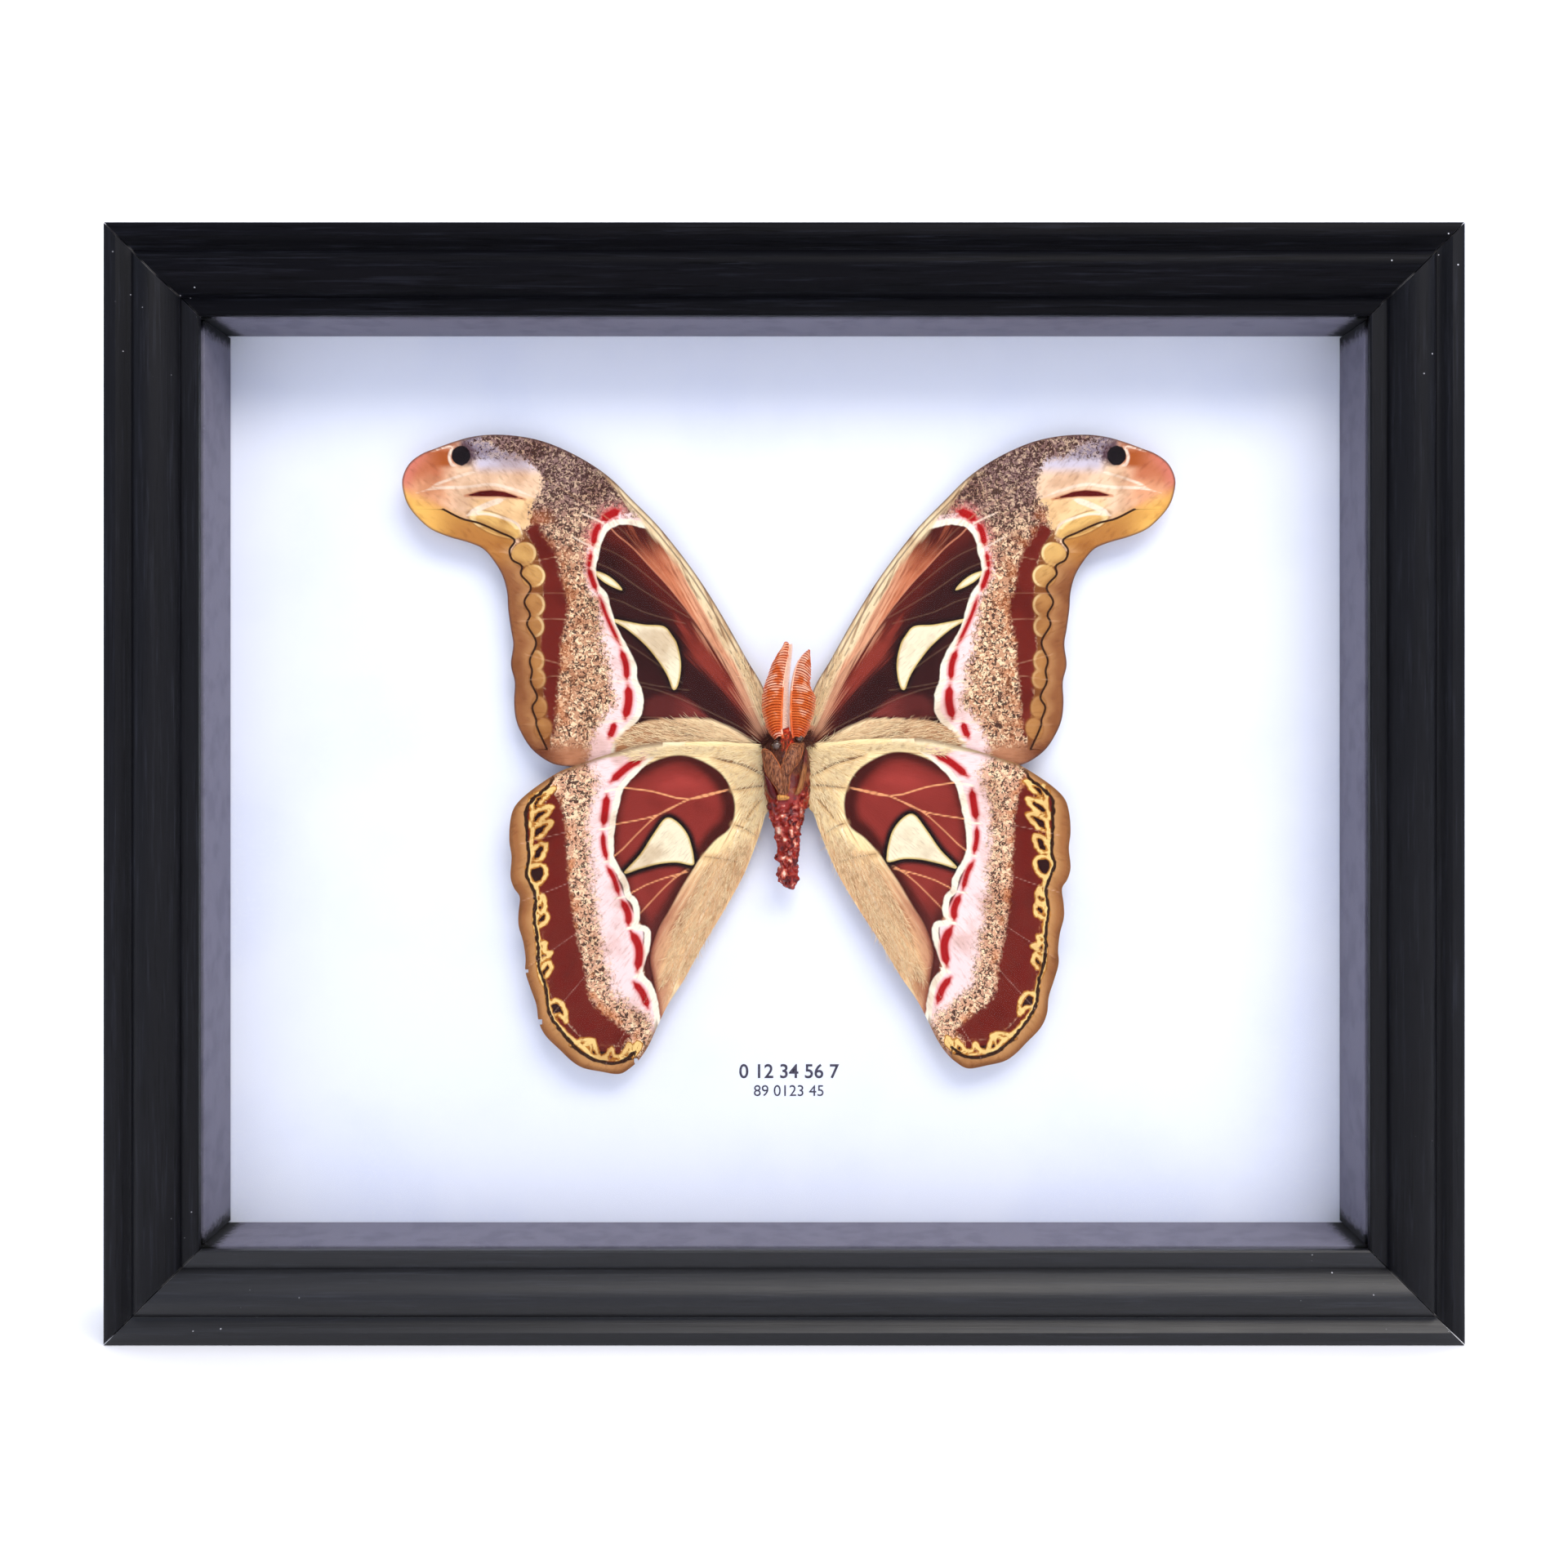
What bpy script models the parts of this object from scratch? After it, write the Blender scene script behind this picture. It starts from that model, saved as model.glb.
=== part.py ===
"""A giant silk moth, spread with its underside to the viewer, in a deep black wooden box frame.

Metres, Z up. The frame stands on its bottom rail, centred on X and Y, and its glazed face looks along -Y.
Places on the moth are in millimetres from the moth's centre, outward from its midline and up.
"""
import bmesh
import bpy
from math import cos, pi, radians, sin, sqrt
from mathutils import Matrix, Vector
from mathutils.geometry import delaunay_2d_cdt, interpolate_bezier

MM = 0.001
GAP = 0.3 * MM

# Frame
FRAME_WIDTH = 337 * MM
FRAME_HEIGHT = 278 * MM
FRAME_DEPTH = 40 * MM
REBATE_WALL = 18.5 * MM
SIGHT_EDGE = 22 * MM
LIP_BACK = 8 * MM
FRONT = -FRAME_DEPTH / 2

# Depths behind the front plane of the case's layers
GLASS_LAYER = (8.3 * MM, 10.3 * MM)
SPACER_LAYER = (10.6 * MM, 31.0 * MM)
BACKING_LAYER = (31.3 * MM, 34.3 * MM)
PANEL_LAYER = (34.6 * MM, 37.6 * MM)
TAB_LAYER = (37.9 * MM, 38.3 * MM)
TAB_SIZE = (8 * MM, 7 * MM)
SMALL_BEVEL = 0.25 * MM

# Hanger on the back panel
HANGER_WIDTH = 46 * MM
HANGER_HEIGHT = 9 * MM
HANGER_LAYER = (37.9 * MM, 38.9 * MM)
HANGER_DROP = 34 * MM
HANGER_TEETH = 9
TOOTH_DEPTH = 1.8 * MM
NAIL_RADIUS = 2.2 * MM
NAIL_HEAD = 0.7 * MM

# Moth
MOTH_X = 1.0 * MM
MOTH_Z = 144.4 * MM
BODY_LAYER = 24 * MM
WING_THICKNESS = 0.5 * MM
FOREWING_LAYER = 27.2
HINDWING_LAYER = 25.8
WING_CAMBER = 3.0
HINDWING_TURN = radians(1.8)
ANTENNA_LAYER = 20.5
ANTENNA_THICKNESS = 0.9 * MM
LEG_THICKNESS = 0.8 * MM
LEG_GAP = 0.75
BODY_SIDES = 18
PAD_RADIUS = 4.5 * MM
PAD_LAYER = (29.8 * MM, 31.0 * MM)

# Outlines are run smoothly through these points
FOREWING = (
    (5.6, 6.2), (7.3, 18.9), (12.9, 30.6), (22.0, 44.9), (31.1, 57.3), (40.9, 67.8), (51.3, 76.9),
    (64.4, 83.1), (77.4, 84.7), (87.2, 82.8), (95.7, 79.5), (100.2, 73.6), (98.9, 65.8), (93.1, 59.9),
    (83.9, 56.7), (77.4, 52.4), (73.5, 43.6), (72.5, 33.9), (71.9, 29.9), (72.5, 24.7), (71.3, 20.2),
    (71.7, 15.0), (70.8, 9.6), (67.0, 2.6), (59.1, -1.7), (50.0, -2.0), (40.0, 0.0), (25.0, 2.0),
    (12.0, 3.4), (6.0, 3.2),
)
HINDWING = (
    (6.2, 2.9), (13.8, 4.3), (29.0, 4.5), (41.3, 3.0), (54.7, -1.3), (64.5, -6.2), (71.2, -12.0),
    (72.7, -21.1), (72.1, -25.4), (72.4, -30.3), (70.2, -35.8), (70.3, -43.2), (68.6, -51.7),
    (67.2, -59.6), (65.1, -68.2), (59.6, -75.6), (53.5, -80.4), (44.3, -82.0), (38.8, -78.0),
    (33.9, -68.8), (27.2, -57.2), (18.0, -41.3), (11.3, -29.1), (7.0, -17.5), (6.0, -9.0),
)
LEFT_ANTENNA = (
    (-1.9, 7.8), (-1.5, 18.8), (-0.7, 24.8), (-0.2, 29.9), (-1.2, 30.2), (-3.1, 28.1), (-4.9, 23.9),
    (-6.3, 19.3), (-7.0, 14.7), (-5.0, 8.2),
)
RIGHT_ANTENNA = (
    (1.4, 8.4), (0.5, 14.2), (1.0, 20.2), (2.5, 25.8), (5.4, 28.4), (5.9, 24.8), (6.0, 20.2),
    (6.8, 16.0), (6.2, 11.9), (4.4, 8.6),
)
LEGS = {
    "foreleg_left": ((-5.8, 2.2), (-4.7, 2.4), (-2.5, -0.6), (-1.3, -6.2), (-3.0, -5.4), (-5.1, -1.6)),
    "foreleg_right": ((0.9, 2.2), (4.1, 3.3), (3.9, 0.6), (2.0, -2.8), (0.7, -7.0), (-0.9, -6.6), (-0.7, -1.8)),
    "midleg_left": ((-5.3, -3.6), (-4.4, -3.4), (-3.6, -6.4), (-2.6, -9.6), (-3.6, -9.8), (-4.9, -7.4)),
    "midleg_right": ((4.3, -0.6), (5.1, -1.4), (4.2, -5.2), (2.6, -9.4), (1.3, -8.8), (3.0, -4.6)),
    "hindleg_left": ((-1.6, -8.0), (0.3, -8.0), (0.4, -9.4), (-1.6, -9.5)),
}
# Height, side shift, half width and half depth of the body's rings
HEAD_AND_THORAX = (
    (9.2, -0.2, 0.6, 0.5), (8.2, -0.2, 1.8, 1.6), (6.4, -0.2, 2.5, 2.4), (4.6, -0.2, 3.3, 3.0),
    (3.0, -0.3, 4.2, 4.2), (1.0, -0.4, 4.9, 5.2), (-2.5, -0.4, 5.2, 5.5), (-6.0, -0.3, 5.1, 5.3),
    (-9.0, -0.2, 4.8, 4.8), (-10.6, -0.2, 4.3, 4.1),
)
ABDOMEN_TOP = (-11.2, 4.8)
ABDOMEN_END = (-29.6, 2.7)
ABDOMEN_SEGMENTS = 6
GROOVE = 0.86
ABDOMEN_TIP = ((-30.8, -0.5, 2.9, 2.6), (-32.4, -0.3, 2.3, 2.1), (-33.8, 0.0, 0.9, 0.8))
EYES = ((-3.1, 3.9), (2.7, 5.9))
EYE_RADIUS = 1.25 * MM
EYE_LAYER = 21.6 * MM


def clear_scene():
    for old in list(bpy.data.objects):
        bpy.data.objects.remove(old)


def make_material(name, colour, roughness, metallic=0.0, clear=0.0):
    material = bpy.data.materials.new(name)
    material.use_nodes = True
    surface = material.node_tree.nodes["Principled BSDF"]
    surface.inputs["Base Color"].default_value = (*colour, 1.0)
    surface.inputs["Roughness"].default_value = roughness
    surface.inputs["Metallic"].default_value = metallic
    surface.inputs["Transmission Weight"].default_value = clear
    return material


def add_object(name, bm, material):
    """Turns a finished bmesh into an object with its faces pointing out."""
    bmesh.ops.recalc_face_normals(bm, faces=bm.faces)
    mesh = bpy.data.meshes.new(name)
    bm.to_mesh(mesh)
    bm.free()
    mesh.materials.append(material)
    piece = bpy.data.objects.new(name, mesh)
    bpy.context.collection.objects.link(piece)
    return piece


def make_box(name, low, high, material, bevel=SMALL_BEVEL):
    bm = bmesh.new()
    size = Vector(high) - Vector(low)
    centre = (Vector(high) + Vector(low)) / 2
    bmesh.ops.create_cube(bm, size=1.0, matrix=Matrix.Diagonal((*size, 1.0)))
    piece = add_object(name, bm, material)
    piece.location = centre
    edge = piece.modifiers.new("edge", "BEVEL")
    edge.width = bevel
    edge.segments = 1
    return piece


def rail_profile():
    """The moulding's section as (inward, depth) points, from the outer back corner round the front."""
    outer_edge = interpolate_bezier((0, 2.2), (0, 1.3), (0.3, 1.0), (1.2, 0.9), 5)
    groove = interpolate_bezier((3.3, 0.9), (4.2, 1.4), (5.2, 2.9), (6.3, 3.0), 5)
    flank = interpolate_bezier((6.5, 3.0), (6.9, 1.0), (8.6, 0.0), (10.3, 0.0), 7)
    fall = interpolate_bezier((10.3, 0.0), (13.2, 0.0), (15.6, 2.4), (17.6, 4.9), 9)
    bezier_points = [*outer_edge, *groove, *flank, *fall[1:]]
    points = [(0.0, FRAME_DEPTH)] + [(p[0] * MM, p[1] * MM) for p in bezier_points]
    points += [(17.8 * MM, 6.0 * MM), (21.6 * MM, 6.0 * MM), (SIGHT_EDGE, 6.4 * MM)]
    points += [(SIGHT_EDGE, LIP_BACK), (REBATE_WALL, LIP_BACK), (REBATE_WALL, FRAME_DEPTH)]
    return points


def make_rail(name, turn, length, half_span, material):
    """Extrudes the section along X, cuts both mitres by shearing the ends, and turns the rail into place."""
    bm = bmesh.new()
    profile = rail_profile()
    start = [bm.verts.new((-length / 2, FRONT + depth, inward - half_span)) for inward, depth in profile]
    section = bm.faces.new(start)
    made = bmesh.ops.extrude_face_region(bm, geom=[section])
    far = [item for item in made["geom"] if isinstance(item, bmesh.types.BMVert)]
    bmesh.ops.translate(bm, verts=far, vec=(length, 0, 0))
    for vert in bm.verts:
        inward = vert.co.z + half_span
        side = 1 if vert.co.x > 0 else -1
        vert.co.x -= side * (inward + GAP / 2)
    rail = add_object(name, bm, material)
    rail.rotation_euler.y = radians(turn)
    rail.location.z = FRAME_HEIGHT / 2
    rail.data.shade_smooth()
    rail.data.set_sharp_from_angle(angle=radians(30))
    return rail


def make_frame(material):
    horizontal = (FRAME_WIDTH, FRAME_HEIGHT / 2)
    upright = (FRAME_HEIGHT, FRAME_WIDTH / 2)
    make_rail("rail_bottom", 0, *horizontal, material)
    make_rail("rail_left", 90, *upright, material)
    make_rail("rail_top", 180, *horizontal, material)
    make_rail("rail_right", 270, *upright, material)


def make_sheet(name, layer, material):
    """A pane or board that drops into the rebate, with a gap all round."""
    edge = REBATE_WALL + GAP
    low = (-FRAME_WIDTH / 2 + edge, FRONT + layer[0], edge)
    high = (FRAME_WIDTH / 2 - edge, FRONT + layer[1], FRAME_HEIGHT - edge)
    return make_box(name, low, high, material)


def make_spacers(material):
    """Four strips round the inside of the case, flush with the sight edge; the long ones run through."""
    wall = REBATE_WALL + GAP
    near, far = FRONT + SPACER_LAYER[0], FRONT + SPACER_LAYER[1]
    outer_x = FRAME_WIDTH / 2 - wall
    inner_x = FRAME_WIDTH / 2 - SIGHT_EDGE
    top = FRAME_HEIGHT - wall
    inner_top = FRAME_HEIGHT - SIGHT_EDGE
    make_box("spacer_bottom", (-outer_x, near, wall), (outer_x, far, SIGHT_EDGE), material)
    make_box("spacer_top", (-outer_x, near, inner_top), (outer_x, far, top), material)
    low_z, high_z = SIGHT_EDGE + GAP, inner_top - GAP
    make_box("spacer_left", (-outer_x, near, low_z), (-inner_x, far, high_z), material)
    make_box("spacer_right", (inner_x, near, low_z), (outer_x, far, high_z), material)


def make_tabs(material):
    """Two flat steel points on each side, lying on the back panel with their outer end at the rebate wall."""
    wide, long = TAB_SIZE
    near, far = FRONT + TAB_LAYER[0], FRONT + TAB_LAYER[1]
    edge = REBATE_WALL + GAP
    places = []
    for share in (-0.25, 0.25):
        x = share * FRAME_WIDTH
        z = FRAME_HEIGHT / 2 + share * FRAME_HEIGHT
        places.append((x, edge + long / 2, wide, long))
        places.append((x, FRAME_HEIGHT - edge - long / 2, wide, long))
        places.append((-FRAME_WIDTH / 2 + edge + long / 2, z, long, wide))
        places.append((FRAME_WIDTH / 2 - edge - long / 2, z, long, wide))
    for number, (x, z, size_x, size_z) in enumerate(places, 1):
        low = (x - size_x / 2, near, z - size_z / 2)
        high = (x + size_x / 2, far, z + size_z / 2)
        make_box(f"panel_tab_{number}", low, high, material, bevel=0.1 * MM)


def make_hanger(material, nail_material):
    """A sawtooth plate near the top of the back panel, with a nail through each end."""
    top = FRAME_HEIGHT - HANGER_DROP
    half = HANGER_WIDTH / 2
    tooth_run = HANGER_WIDTH * 0.56
    outline = [(-half, top - HANGER_HEIGHT), (-half, top), (half, top), (half, top - HANGER_HEIGHT)]
    pitch = tooth_run / HANGER_TEETH
    for tooth in range(HANGER_TEETH):
        edge = tooth_run / 2 - tooth * pitch
        outline.append((edge, top - HANGER_HEIGHT))
        outline.append((edge - pitch / 2, top - HANGER_HEIGHT + TOOTH_DEPTH))
    outline.append((-tooth_run / 2, top - HANGER_HEIGHT))
    bm = bmesh.new()
    plate = bm.faces.new([bm.verts.new((x, FRONT + HANGER_LAYER[0], z)) for x, z in outline])
    made = bmesh.ops.extrude_face_region(bm, geom=[plate])
    far = [item for item in made["geom"] if isinstance(item, bmesh.types.BMVert)]
    bmesh.ops.translate(bm, verts=far, vec=(0, HANGER_LAYER[1] - HANGER_LAYER[0], 0))
    add_object("hanger", bm, material)
    head_y = FRONT + HANGER_LAYER[1] + GAP
    for name, side in (("hanger_nail_left", -1), ("hanger_nail_right", 1)):
        bm = bmesh.new()
        upright = Matrix.Rotation(-pi / 2, 4, "X")
        bmesh.ops.create_cone(
            bm, cap_ends=True, segments=16, radius1=NAIL_RADIUS, radius2=NAIL_RADIUS * 0.7,
            depth=NAIL_HEAD, matrix=upright,
        )
        nail = add_object(name, bm, nail_material)
        nail.location = (side * half * 0.78, head_y + NAIL_HEAD / 2, top - HANGER_HEIGHT / 2)


def smooth_outline(points, cuts):
    """Runs a closed Catmull-Rom curve through the points, with this many steps between neighbours."""
    outline = []
    count = len(points)
    for index in range(count):
        before, here, after, beyond = (Vector(points[(index + step) % count]) for step in (-1, 0, 1, 2))
        handle_out = here + (after - before) / 6
        handle_in = after - (beyond - here) / 6
        outline += [tuple(p) for p in interpolate_bezier(here, handle_out, handle_in, after, cuts + 1)[:-1]]
    return outline


def make_plate(name, outline, depth_at, thickness, spacing, material):
    """A thin natural plate: the outline is filled with triangles, laid on a curved surface and thickened.

    The outline is in millimetres from the moth's centre, and depth_at(x, z) gives millimetres behind the
    frame's front plane.
    """
    count = len(outline)
    corners = [Vector(point) for point in outline]
    edges = [(index, (index + 1) % count) for index in range(count)]
    low_x, high_x = min(p.x for p in corners), max(p.x for p in corners)
    low_z, high_z = min(p.y for p in corners), max(p.y for p in corners)
    inner = []
    row = 0
    z = low_z + spacing / 2
    while z < high_z:
        x = low_x + spacing / 2 * (1 + row % 2)
        while x < high_x:
            point = Vector((x, z))
            if min((point - corner).length for corner in corners) > spacing * 0.55:
                inner.append(point)
            x += spacing
        z += spacing * 0.87
        row += 1
    verts, _, faces, *_ = delaunay_2d_cdt(corners + inner, edges, [], 1, 1e-6)
    bm = bmesh.new()
    made = []
    for point in verts:
        depth = FRONT + depth_at(point.x, point.y) * MM
        made.append(bm.verts.new((MOTH_X + point.x * MM, depth, MOTH_Z + point.y * MM)))
    for face in faces:
        bm.faces.new([made[index] for index in face])
    loose = [vert for vert in bm.verts if not vert.link_faces]
    bmesh.ops.delete(bm, geom=loose, context="VERTS")
    plate = add_object(name, bm, material)
    wall = plate.modifiers.new("thickness", "SOLIDIFY")
    wall.thickness = thickness
    wall.offset = 0.0
    return plate


def mirrored(points):
    return [(-x, z) for x, z in points]


def turned(points, angle):
    """Turns points about the moth's centre; a positive angle swings the lower part towards +X."""
    return [(x * cos(angle) - z * sin(angle), x * sin(angle) + z * cos(angle)) for x, z in points]


def make_wings(material):
    def wing_depth(root_layer):
        return lambda x, z: root_layer - WING_CAMBER * (abs(x) / 100) ** 1.5

    fore = smooth_outline(FOREWING, 2)
    hind = smooth_outline(HINDWING, 2)
    fore_depth = wing_depth(FOREWING_LAYER)
    hind_depth = wing_depth(HINDWING_LAYER)
    make_plate("forewing_left", mirrored(fore), fore_depth, WING_THICKNESS, 9, material)
    make_plate("forewing_right", fore, fore_depth, WING_THICKNESS, 9, material)
    make_plate("hindwing_left", mirrored(hind), hind_depth, WING_THICKNESS, 9, material)
    make_plate("hindwing_right", turned(hind, HINDWING_TURN), hind_depth, WING_THICKNESS, 9, material)


def body_rings():
    """All the body's rings from the head's tip down: the abdomen narrows, with a groove between segments."""
    rings = list(HEAD_AND_THORAX)
    top_z, top_width = ABDOMEN_TOP
    end_z, end_width = ABDOMEN_END
    steps = ABDOMEN_SEGMENTS * 3
    for step in range(steps + 1):
        share = step / steps
        width = top_width + (end_width - top_width) * share
        if step % 3 == 0:
            width *= GROOVE
        rings.append((top_z + (end_z - top_z) * share, -0.15, width, width * 0.92))
    return rings + list(ABDOMEN_TIP)


def body_front(x, z):
    """How far behind the frame's front plane the body's front surface lies, in millimetres."""
    rings = body_rings()
    above, below = rings[0], rings[-1]
    for first, second in zip(rings, rings[1:]):
        if first[0] >= z >= second[0]:
            above, below = first, second
    share = (above[0] - z) / (above[0] - below[0])
    shift, half_width, half_depth = (above[k] + (below[k] - above[k]) * share for k in (1, 2, 3))
    across = min(abs(x - shift) / half_width, 1.0)
    return BODY_LAYER / MM - half_depth * sqrt(1 - across ** 2)


def make_body(material):
    bm = bmesh.new()
    loops = []
    for z, shift, half_width, half_depth in body_rings():
        loop = []
        for side in range(BODY_SIDES):
            angle = 2 * pi * side / BODY_SIDES
            x = MOTH_X + (shift + half_width * cos(angle)) * MM
            y = FRONT + BODY_LAYER + half_depth * sin(angle) * MM
            loop.append(bm.verts.new((x, y, MOTH_Z + z * MM)))
        loops.append(loop)
    for upper, lower in zip(loops, loops[1:]):
        for side in range(BODY_SIDES):
            after = (side + 1) % BODY_SIDES
            bm.faces.new((upper[side], upper[after], lower[after], lower[side]))
    bm.faces.new(loops[0])
    bm.faces.new(loops[-1])
    body = add_object("moth_body", bm, material)
    body.data.shade_smooth()
    for number, (x, z) in enumerate(EYES):
        bm = bmesh.new()
        place = Matrix.Translation((MOTH_X + x * MM, FRONT + EYE_LAYER, MOTH_Z + z * MM))
        bmesh.ops.create_icosphere(bm, subdivisions=2, radius=EYE_RADIUS, matrix=place)
        eye = add_object(f"eye_guide_{number}", bm, material)
        eye.hide_render = True
        eye.display_type = "WIRE"
        join = body.modifiers.new(f"eye_{number}", "BOOLEAN")
        join.operation = "UNION"
        join.object = eye
    return body


def make_legs(material):
    """Folded legs lie flat against the breast, a gap in front of it."""
    clearance = LEG_THICKNESS / MM / 2 + LEG_GAP

    def leg_depth(x, z):
        return body_front(x * 0.92, z) - clearance

    for name, outline in LEGS.items():
        make_plate(name, smooth_outline(outline, 2), leg_depth, LEG_THICKNESS, 1.2, material)


def make_antennae(material):
    def antenna_depth(x, z):
        return ANTENNA_LAYER - 0.04 * (z - 9)

    for name, outline in (("antenna_left", LEFT_ANTENNA), ("antenna_right", RIGHT_ANTENNA)):
        make_plate(name, smooth_outline(outline, 2), antenna_depth, ANTENNA_THICKNESS, 2.5, material)


def make_glue_pad(material):
    bm = bmesh.new()
    lying = Matrix.Rotation(-pi / 2, 4, "X")
    depth = PAD_LAYER[1] - PAD_LAYER[0]
    bmesh.ops.create_cone(
        bm, cap_ends=True, segments=20, radius1=PAD_RADIUS * 0.8, radius2=PAD_RADIUS, depth=depth, matrix=lying,
    )
    pad = add_object("glue_pad", bm, material)
    pad.location = (MOTH_X, FRONT + PAD_LAYER[0] + depth / 2, MOTH_Z - 3 * MM)


def main():
    clear_scene()
    black_wood = make_material("black_painted_wood", (0.012, 0.013, 0.016), 0.42)
    glass = make_material("clear_glass", (0.95, 0.97, 0.97), 0.02, clear=1.0)
    spacer_card = make_material("grey_spacer_card", (0.12, 0.11, 0.13), 0.7)
    white_card = make_material("white_backing_card", (0.88, 0.89, 0.93), 0.7)
    fibreboard = make_material("brown_fibreboard", (0.27, 0.17, 0.09), 0.8)
    steel = make_material("zinc_plated_steel", (0.55, 0.56, 0.58), 0.35, metallic=1.0)
    wing = make_material("wing_scales", (0.35, 0.16, 0.10), 0.75)
    body = make_material("wine_red_body", (0.16, 0.03, 0.02), 0.35)
    plume = make_material("rust_antenna", (0.50, 0.14, 0.05), 0.6)
    leg = make_material("brown_leg", (0.16, 0.08, 0.05), 0.55)
    glue = make_material("clear_glue", (0.75, 0.70, 0.55), 0.3)

    make_frame(black_wood)
    make_sheet("glass_pane", GLASS_LAYER, glass)
    make_spacers(spacer_card)
    make_sheet("backing_board", BACKING_LAYER, white_card)
    make_sheet("back_panel", PANEL_LAYER, fibreboard)
    make_tabs(steel)
    make_hanger(steel, steel)
    make_wings(wing)
    make_body(body)
    make_antennae(plume)
    make_legs(leg)
    make_glue_pad(glue)


main()
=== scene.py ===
# %% [markdown]
# A framed moth. The real object is a deep black wooden box frame with a moth spread on a white board
# behind glass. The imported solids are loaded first: they give every place and size, and everything
# here is fitted to them.

# %% Load the frame
from math import cos, pi, radians, sin
from types import SimpleNamespace
import bpy
import numpy as np
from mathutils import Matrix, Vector, noise


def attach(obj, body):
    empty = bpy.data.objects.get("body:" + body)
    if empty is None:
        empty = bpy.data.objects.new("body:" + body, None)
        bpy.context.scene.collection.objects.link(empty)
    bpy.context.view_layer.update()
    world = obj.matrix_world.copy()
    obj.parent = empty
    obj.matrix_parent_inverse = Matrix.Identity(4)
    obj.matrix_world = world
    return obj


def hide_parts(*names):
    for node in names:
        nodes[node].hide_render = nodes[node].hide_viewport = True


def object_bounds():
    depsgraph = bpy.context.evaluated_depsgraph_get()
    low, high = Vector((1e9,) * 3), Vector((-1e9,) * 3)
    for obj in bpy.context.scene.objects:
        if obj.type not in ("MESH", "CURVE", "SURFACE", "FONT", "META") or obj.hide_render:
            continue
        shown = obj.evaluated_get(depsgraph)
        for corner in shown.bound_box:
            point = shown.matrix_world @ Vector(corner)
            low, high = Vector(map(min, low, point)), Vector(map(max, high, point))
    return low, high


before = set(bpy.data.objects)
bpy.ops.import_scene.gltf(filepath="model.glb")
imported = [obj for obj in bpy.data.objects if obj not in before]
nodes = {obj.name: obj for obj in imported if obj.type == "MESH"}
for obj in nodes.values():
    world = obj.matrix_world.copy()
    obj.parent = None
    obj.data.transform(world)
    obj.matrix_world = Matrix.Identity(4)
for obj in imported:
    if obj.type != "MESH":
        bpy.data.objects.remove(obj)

MM = 0.001
cad_low, cad_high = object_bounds()
print("solids", len(nodes), "box", [round(value, 4) for value in (*cad_low, *cad_high)])

# %% [markdown]
# A few helpers serve every piece. Everything is deselected before an operator runs, because an
# operator acts on all that is selected. A finished piece has its place in its mesh, so that patterns
# on object coordinates stay put.

# %% Helpers for pieces
def deselect():
    if bpy.context.object and bpy.context.object.mode != "OBJECT":
        bpy.ops.object.mode_set(mode="OBJECT")
    bpy.ops.object.select_all(action="DESELECT")


def take(piece):
    """Makes a piece the only one selected and active."""
    deselect()
    piece.hide_set(False)
    piece.select_set(True)
    bpy.context.view_layer.objects.active = piece
    return piece


def edit(piece):
    take(piece)
    bpy.ops.object.mode_set(mode="EDIT")


def leave_edit():
    bpy.ops.object.mode_set(mode="OBJECT")


def select_points(piece, chosen):
    """Leaves a piece in edit mode with just these of its points selected."""
    edit(piece)
    bpy.ops.mesh.select_mode(type="VERT")
    bpy.ops.mesh.select_all(action="DESELECT")
    leave_edit()
    piece.data.vertices.foreach_set("select", chosen)
    edit(piece)


def face_outward(piece):
    edit(piece)
    bpy.ops.mesh.select_all(action="SELECT")
    bpy.ops.mesh.normals_make_consistent(inside=False)
    leave_edit()


def settle(piece):
    """Moves a piece's place, turn and scale into its mesh."""
    take(piece)
    bpy.ops.object.transform_apply(location=True, rotation=True, scale=True)
    return piece


def apply_modifiers(piece):
    take(piece)
    for modifier in list(piece.modifiers):
        bpy.ops.object.modifier_apply(modifier=modifier.name)
    return piece


def finish_piece(piece, material, replaced=(), smooth=40):
    settle(piece)
    piece.data.materials.clear()
    piece.data.materials.append(material)
    if smooth:
        bpy.ops.object.shade_smooth_by_angle(angle=radians(smooth))
    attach(piece, "root")
    if replaced:
        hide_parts(*replaced)
    print(piece.name, "triangles", sum(len(face.vertices) - 2 for face in piece.data.polygons))
    return piece


def read_points(mesh):
    points = np.empty(len(mesh.vertices) * 3)
    mesh.vertices.foreach_get("co", points)
    return points.reshape(-1, 3)


def write_points(mesh, points):
    mesh.vertices.foreach_set("co", points.ravel())
    mesh.update()

# %% [markdown]
# The picture is taken square on, a little above and to the right of the frame's middle, from less
# than half a metre: that is why the right and upper inner walls look narrower than the left and lower
# ones.

# %% Camera
FRONT_PLANE = cad_low.y
CAMERA_X = 3.8 * MM
CAMERA_Z = 155.9 * MM
CAMERA_DISTANCE = 430 * MM
CAMERA_LENS = 40.05
CAMERA_SHIFT = (-0.0099, -0.0438)
camera = bpy.data.objects.new("camera", bpy.data.cameras.new("camera"))
bpy.context.scene.collection.objects.link(camera)
camera.location = (CAMERA_X, FRONT_PLANE - CAMERA_DISTANCE, CAMERA_Z)
camera.rotation_euler = (pi / 2, 0, 0)
camera.data.sensor_width = 36
camera.data.lens = CAMERA_LENS
camera.data.shift_x, camera.data.shift_y = CAMERA_SHIFT
camera.data.clip_start = 0.01
bpy.context.scene.camera = camera
bpy.context.scene.view_settings.view_transform = "Standard"
print("camera at", tuple(round(value, 4) for value in camera.location))

# %% [markdown]
# The stage is a pale floor that sweeps up behind the frame, so that no horizon shows, and a lamp of
# its own keeps its wall bright. A wide lamp above and in front gives the bright lower rail and the
# soft shadow under the top rail; the pale surroundings fill the rest.

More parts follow.
